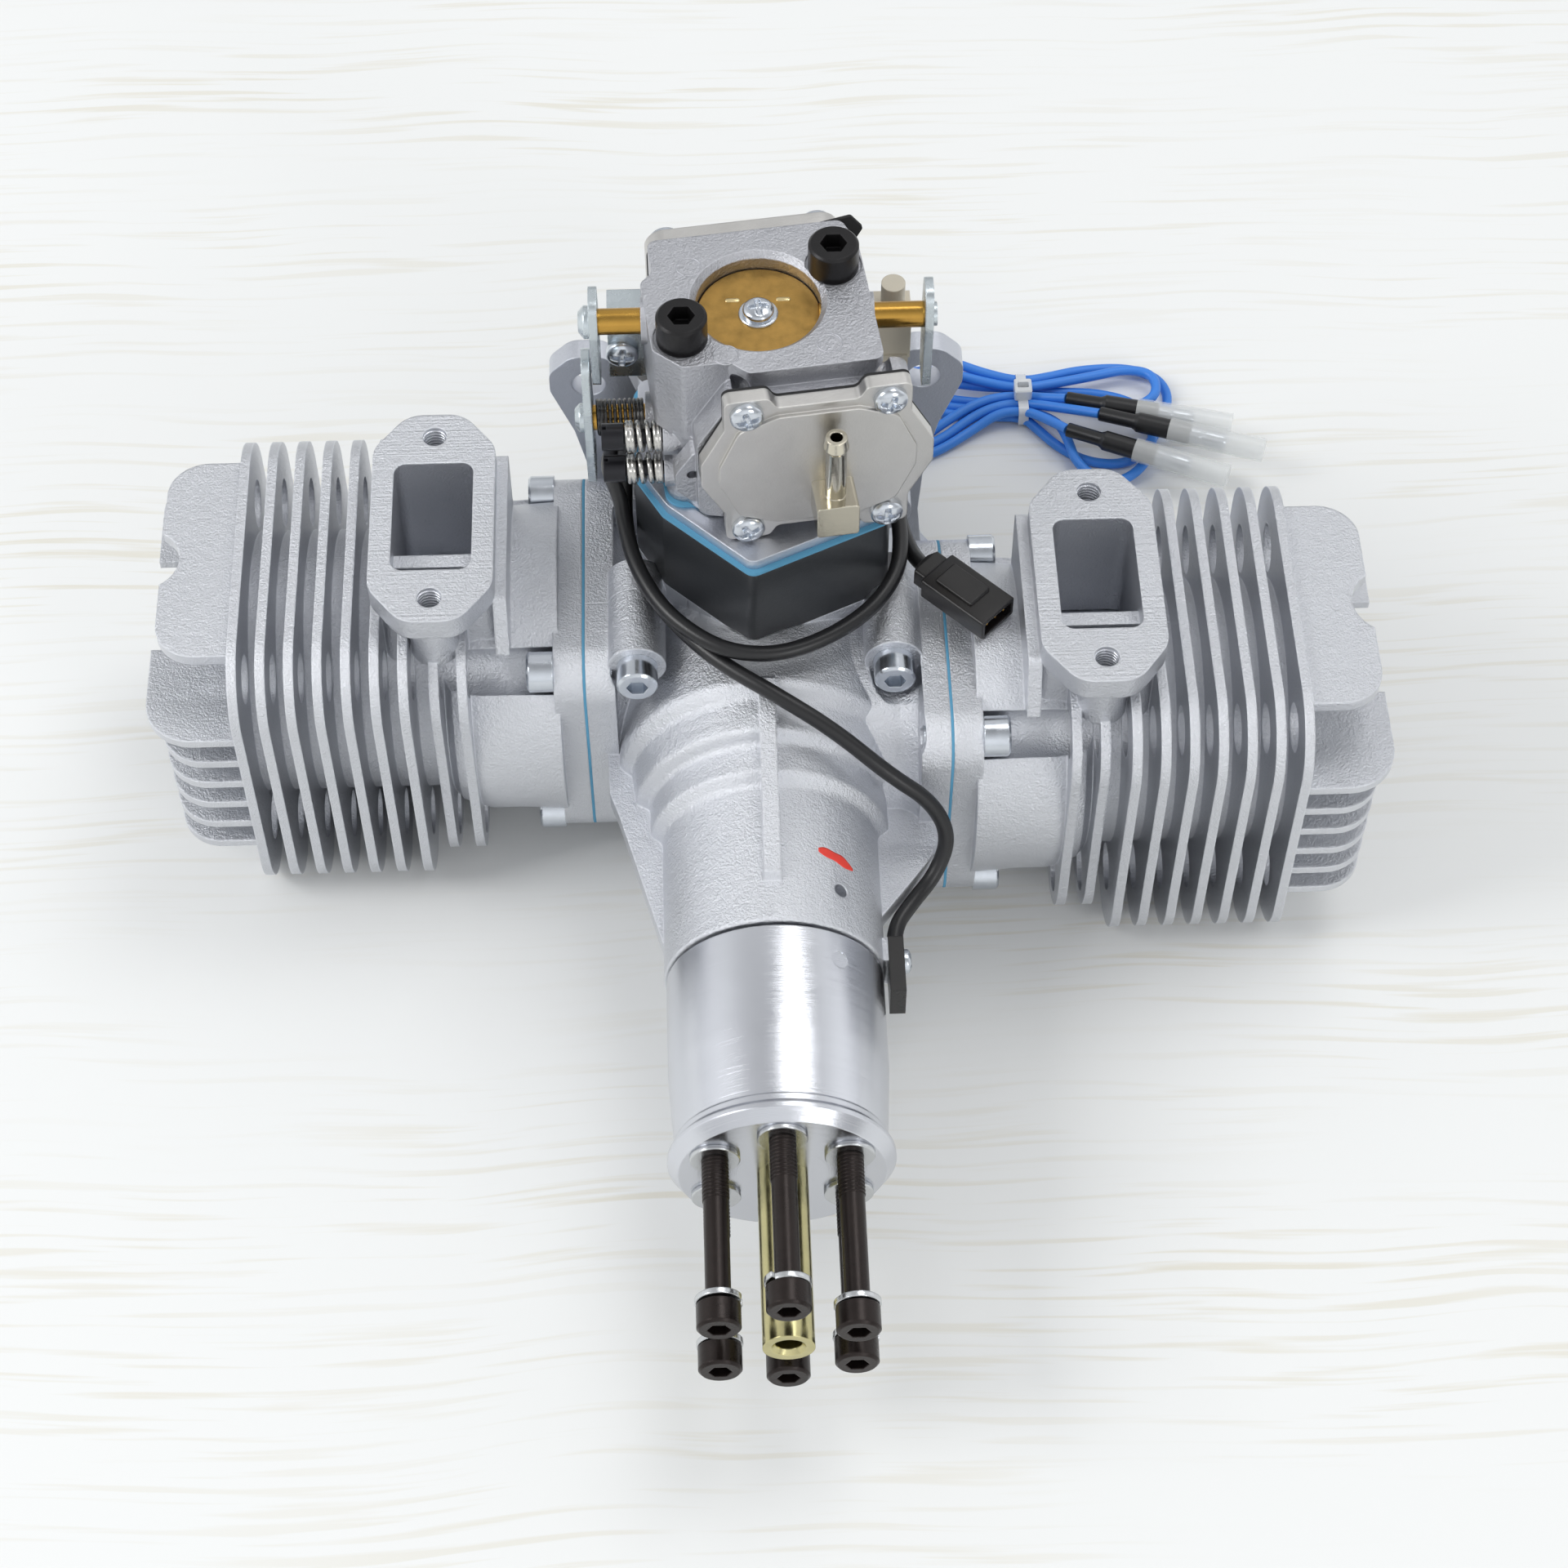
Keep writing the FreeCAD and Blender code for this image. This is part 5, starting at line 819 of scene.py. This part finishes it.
def nose_surface(angle, y):
    """Radius (mm) of the front casting at an angle from the top and a place y, by a ray to the axis."""
    out = Vector((math.sin(angle), 0, math.cos(angle)))
    hit = nose_tree.ray_cast(out * RAY_START + Vector((0, y * MM, 0)), -out, RAY_START)
    return hit[0].xz.length / MM


along = np.linspace(0, 1, 34)
taper = np.sqrt(np.clip(np.sin(np.pi * (0.04 + 0.93 * along)), 0, 1))
half_width = DASH_HALF_WIDTH * taper * (1 + 0.14 * np.sin(11 * along))
across = np.linspace(-1, 1, 9)
angle = np.radians(DASH_START + (DASH_END - DASH_START) * along)[:, None] + 0 * across
y = (-106.2 - 1.9 * along ** 1.4)[:, None] + half_width[:, None] * across
ground = np.array([[nose_surface(a, b) for a, b in zip(ra, rb)] for ra, rb in zip(angle, y)])
shells = [np.stack([(ground + lift) * np.sin(angle), y, (ground + lift) * np.cos(angle)], -1)
          for lift in (0.05 * (1 - across ** 4) + 0.01, -0.15 + 0 * across)]
loop = np.concatenate([shells[0], shells[1][:, ::-1]], 1)
dash_faces = grid_faces(*loop.shape[:2]) + end_caps(*loop.shape[:2])
dash = mesh_piece("red_paint_dash", loop.reshape(-1, 3) * MM, dash_faces, F["red_paint"])
fix_normals(dash)
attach(dash, "engine")
print("paint dash", len(dash.data.polygons), "faces")

# %% [markdown]
# ## The leads
# The speed sensor's black lead climbs from the nose, winds round the intake block and ends in
# a three-pin connector. The starter's three blue silicone leads fall to the bench and are
# folded into a hank under a cable tie. A lead is a smooth NURBS line with a round section.

# %% Cord helper
def lead(name, points, diameter, material):
    """A NURBS curve of order 3 through the route's points (mm), with a round bevel."""
    data = bpy.data.curves.new(name, "CURVE")
    data.dimensions = "3D"
    data.bevel_depth = diameter * MM / 2
    data.bevel_resolution = 5
    data.resolution_u = 10
    data.use_fill_caps = True
    spline = data.splines.new("NURBS")
    spline.points.add(len(points) - 1)
    co = np.ones((len(points), 4))
    co[:, :3] = np.asarray(points, float) * MM
    spline.points.foreach_set("co", co.ravel())
    spline.order_u = 3
    spline.use_endpoint_u = True
    data.materials.append(material)
    obj = bpy.data.objects.new(name, data)
    bpy.context.scene.collection.objects.link(obj)
    return obj


def line_of(obj):
    """Points of a lead's smooth centre line, read from the curve with no bevel."""
    plain = obj.copy()
    plain.data = obj.data.copy()
    plain.data.bevel_depth = 0
    mesh = bpy.data.meshes.new_from_object(plain)
    pts = np.array([v.co for v in mesh.vertices])
    bpy.data.objects.remove(plain)
    return pts


def length_of(obj):
    """Length in metres of a lead's smooth centre line."""
    return float(np.linalg.norm(np.diff(line_of(obj), axis=0), axis=1).sum())


# %% Sensor lead
sensor_points = [
    (24.5, -117.0, -2.0), (24.5, -111.4, -2.0), (28.6, -105.2, -1.9), (34.0, -99.4, 0.2),
    (36.8, -94.8, 7.0), (33.0, -91.6, 15.0), (24.6, -89.6, 21.6), (13.8, -83.4, 28.6), (2.9, -78.0, 33.4),
    (-8.7, -69.7, 34.0), (-15.6, -62.2, 33.9), (-21.4, -54.6, 34.6), (-26.3, -44.8, 35.9),
    (-28.3, -34.4, 36.3), (-28.2, -24.6, 36.7), (-28.3, -16.4, 36.9), (-27.6, -10.4, 37.0),
    (-23.9, -7.2, 37.0), (-16.0, -7.1, 37.1), (-5.4, -7.1, 37.0), (5.2, -7.1, 37.1), (16.0, -7.1, 37.0),
    (23.9, -7.2, 37.0), (27.6, -10.4, 37.0), (28.3, -16.4, 37.1), (28.2, -24.6, 37.3),
    (28.5, -33.4, 37.5), (28.8, -41.7, 37.6), (27.6, -50.0, 37.3), (21.9, -58.8, 37.0),
    (13.1, -65.3, 36.6), (3.1, -69.4, 36.6), (-6.0, -69.1, 37.0), (-13.1, -65.5, 37.3),
    (-20.9, -57.9, 37.8), (-26.3, -46.9, 39.0), (-28.3, -36.9, 39.5), (-28.9, -30.2, 39.4),
    (-30.8, -23.6, 38.4), (-31.9, -17.0, 36.5), (-30.4, -11.0, 34.5), (-26.0, -7.4, 33.4),
    (-19.0, -7.1, 33.3), (-9.4, -7.1, 33.4), (1.0, -7.1, 33.3), (11.4, -7.1, 33.4), (19.4, -7.1, 33.3),
    (24.4, -7.5, 33.3), (28.0, -11.0, 33.3), (28.6, -17.0, 33.3), (28.7, -24.0, 33.4),
    (28.9, -30.6, 33.4), (29.6, -36.2, 33.7), (30.9, -41.6, 34.5), (32.0, -45.0, 35.5),
    (33.4, -47.4, 36.2),
]
sensor_lead = lead("speed_sensor_lead", sensor_points, 3.3, F["black_lead"])
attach(sensor_lead, "engine")
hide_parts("sensor_lead")

# %% Sensor plug
PIN_PITCH = 2.54
plug_base, plug_way = np.array([33.4, -47.4, 36.2]), np.array([0.707, -0.707, 0.0])
shell = bar("sensor_plug_shell", plug_base, plug_way, UP,
            [(-0.6, 2.1, 1.9, 0.8), (0, 3.3, 2.1, 0.7), (0.3, 3.7, 2.3, 0.7), (3.0, 3.7, 2.3, 0.7),
             (3.2, 4.7, 2.5, 0.5), (3.4, 4.9, 2.6, 0.5), (19.8, 4.9, 2.6, 0.5), (20.0, 4.7, 2.4, 0.4),
             (20.0, 4.1, 1.8, 0.3), (16.0, 4.1, 1.8, 0.3)], F["black_plastic"])
lip = bar("sensor_plug_lip", plug_base + 5.2 * plug_way + np.array([0, 0, 2.5]), plug_way, UP,
          [(0, 2.6, 0.2, 0.1), (0.4, 3.0, 0.7, 0.3), (9.6, 3.0, 0.7, 0.3), (10.0, 2.6, 0.2, 0.1)],
          F["black_plastic"])
plug_pieces = [(shell, "black_plastic"), (lip, "black_plastic")]
side_way = np.cross(UP, plug_way)
for k in (-1, 0, 1):
    pin_base = plug_base + 15.8 * plug_way + k * PIN_PITCH * side_way
    pin = bar("sensor_plug_pin_%d" % (k + 2), pin_base, plug_way, UP,
              [(0, 0.32, 0.32, 0.05), (3.2, 0.32, 0.32, 0.05), (3.5, 0.2, 0.2, 0.05)], F["brass"])
    plug_pieces.append((pin, "brass"))
for piece, slot in plug_pieces:
    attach(piece, "engine")
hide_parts("sensor_plug")
sensor_length = length_of(sensor_lead)
print("sensor lead", round(sensor_length, 4))

# %% Starter leads
lead_one = [
    (24.6, 2.1, 7.3), (31, 2.1, 7.3), (36.5, 8, 9.5), (38, 19, 8.5), (38.2, 31, 3.0), (38.0, 42, -5.5),
    (38.0, 53, -14.5), (38.2, 63, -23.0), (41.5, 69.5, -28.5), (48.5, 71, -31.4), (57.0, 68.0, -33.0),
    (65.6, 65.2, -33.2), (72.5, 67.0, -33.8), (80.3, 70.0, -34.9), (91.6, 71.2, -35.7),
    (99.2, 68.4, -36.1), (101.8, 62.3, -36.2), (99.6, 55.0, -36.3), (95.5, 46.5, -36.3),
    (89.6, 40.6, -36.3), (80, 41.6, -36.3), (73.0, 47.0, -36.1), (68.8, 52.6, -36.1), (65.6, 55.9, -35.5),
    (57.5, 56.8, -36.1), (48.0, 57.8, -36.3), (41.0, 60.6, -36.3), (33.8, 60.8, -36.3),
    (30.8, 55.2, -36.3), (33.6, 49.5, -36.3), (40.6, 50.0, -35.9), (46.0, 53.6, -34.7),
    (53.0, 58.0, -33.4), (59.0, 60.4, -33.3), (65.6, 60.6, -33.2), (70.5, 58.6, -31.8),
    (75.8, 56.0, -29.35),
]
lead_two = [
    (24.6, 2.1, 5.0), (31, 2.1, 5.0), (36.5, 8, 7.1), (38.2, 19, 6.1), (38.6, 31, 0.6), (38.6, 42, -7.9),
    (38.8, 53, -16.9), (39.4, 62, -25.2), (43.0, 67.0, -30.2), (49.5, 67.8, -32.6), (57.5, 65.2, -33.3),
    (65.6, 62.9, -33.2), (75, 64.9, -33.5), (84, 66.8, -33.5), (91.5, 68.6, -33.4), (98.0, 66.8, -33.2),
    (98.6, 60.0, -33.1), (93.2, 56.0, -33.2), (86, 57.4, -33.7), (78.5, 60.2, -34.9), (72, 61.0, -35.5),
    (65.6, 60.6, -35.5), (57, 61.2, -36.2), (48, 62.8, -36.3), (39, 66.0, -36.3), (29.8, 65.6, -36.3),
    (24.8, 57.5, -36.3), (26.8, 47.6, -36.3), (35.0, 43.2, -36.3), (44, 45.8, -36.3), (53, 51.8, -35.4),
    (59.5, 55.6, -33.5), (65.6, 55.9, -33.2), (70, 52.6, -31.8), (75.2, 46.2, -29.35),
]
lead_three = [
    (24.6, 2.1, 2.7), (31, 2.1, 2.7), (36.5, 8, 4.7), (38.4, 19, 3.7), (39.0, 31, -1.8),
    (39.2, 42, -10.3), (39.6, 53, -19.3), (40.6, 61, -27.6), (44.6, 65.4, -32.4), (50.5, 66.6, -35.0),
    (58, 65.8, -35.6), (65.6, 65.2, -35.5), (74, 64.0, -36.0), (84, 63.6, -36.2), (92.5, 60.5, -36.1),
    (96.6, 52.5, -34.2), (95.8, 44.5, -33.9), (93.1, 38.4, -34.6), (87.8, 34.9, -35.8),
    (82.0, 35.6, -35.6), (77.0, 39.8, -34.0), (75.6, 47.0, -33.4), (73.6, 53.4, -34.2),
    (65.6, 58.3, -35.5), (57.5, 59.0, -36.2), (48.0, 60.2, -36.3), (39.5, 63.4, -36.3),
    (31.6, 63.0, -36.3), (28.0, 56.0, -36.3), (30.2, 48.2, -36.3), (37.0, 46.0, -36.3),
    (45.0, 49.4, -36.2), (53.5, 55.4, -34.2), (59.5, 57.8, -33.4), (65.6, 58.3, -33.2), (73, 54.6, -30.6),
    (83, 49.0, -27.15),
]


def bullet(number, start, toward, z):
    """Heat-shrunk bullet connector and its clear sleeve, set along a line that lies on the bench."""
    base = np.array([start[0], start[1], z])
    along = np.array([toward[0] - start[0], toward[1] - start[1], 0.0])
    shrink = [(0, 0), (1.6, 0), (1.72, 0.3), (1.72, 8.2), (2.0, 8.8), (2.4, 9.4), (2.42, 21.8), (2.1, 22.2),
              (0, 22.2)]
    metal = [(0, 22.2), (1.95, 22.2), (1.95, 24.6), (1.6, 24.9), (1.6, 25.5), (1.95, 25.8), (1.95, 29.8),
             (1.5, 30.9), (0, 31)]
    shell = [(2.5, 17), (2.9, 17), (2.9, 40.0), (2.5, 40.0)]
    made = []
    for label, profile, slot in (("shrink", shrink, "black_lead"), ("pin", metal, "zinc_screw"),
                                 ("sleeve", shell, "clear_sleeve")):
        piece = turned(profile, base, along, F[slot], "bullet_%s_%d" % (label, number), around=32,
                       ring=label == "sleeve")
        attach(piece, "engine")
        made.append(piece)
    return made


bullets = [bullet(1, (75.8, 56.0), (117.6, 45.4), -29.35), bullet(2, (75.2, 46.2), (108.6, 31.6), -29.35),
           bullet(3, (83.0, 49.0), (120.6, 36.2), -27.15)]
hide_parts("bullet_plugs")
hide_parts("plug_sleeves")
for k, route in enumerate((lead_one, lead_two, lead_three)):
    piece = lead("starter_lead_%d" % (k + 1), route, 2.35, F["blue_lead"])
    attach(piece, "engine")
    measured = length_of(piece)
    print(piece.name, round(measured, 4))
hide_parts("blue_lead_run", "blue_lead_hank")

# %% [markdown]
# ## Cable tie
# A nylon band goes once round the bundle, through its square head, and is cut off short. The band
# is one rounded loop drawn four times, inner and outer edge on both sides, and joined up.

# %% Cable tie
BAND_LEFT, BAND_RIGHT = 64.4, 66.8
BUNDLE_MIDDLE = (60.5, -34.35)


def tie_band():
    """Rounded loop in the plane across the bundle, as four rings (inner and outer, left and right)."""
    inner = rounded_ring(5.95, 2.4, 1.2, 7)
    outer = rounded_ring(6.5, 2.95, 1.7, 7)
    places = ((BAND_LEFT, inner), (BAND_LEFT, outer), (BAND_RIGHT, outer), (BAND_RIGHT, inner))
    rings = [np.column_stack([np.full(len(edge), x), edge + BUNDLE_MIDDLE]) for x, edge in places]
    faces = grid_faces(4, len(inner), wrap_rows=True)
    obj = mesh_piece("tie_band", np.concatenate(rings) * MM, faces, F["tie_nylon"])
    fix_normals(obj)
    return shaded(obj)


tie_pieces = [tie_band()]
tie_pieces.append(bar("tie_head", (65.6, 59.8, -31.7), UP, (0, 1, 0),
                      [(0, 2.0, 2.0, 0.4), (0.3, 2.1, 2.2, 0.5), (3.1, 2.1, 2.2, 0.5), (3.4, 1.8, 1.9, 0.4),
                       (3.4, 1.3, 0.8, 0.2), (2.2, 1.3, 0.8, 0.2)], F["tie_nylon"]))
tie_pieces.append(bar("tie_tail", (65.6, 59.8, -30.0), (0, 0.1, 1), (0, 1, 0),
                      [(0, 1.15, 0.45, 0.1), (2.9, 1.15, 0.45, 0.1)], F["tie_nylon"]))
for piece in tie_pieces:
    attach(piece, "engine")
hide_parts("zip_tie")
print("tie pieces", len(tie_pieces))
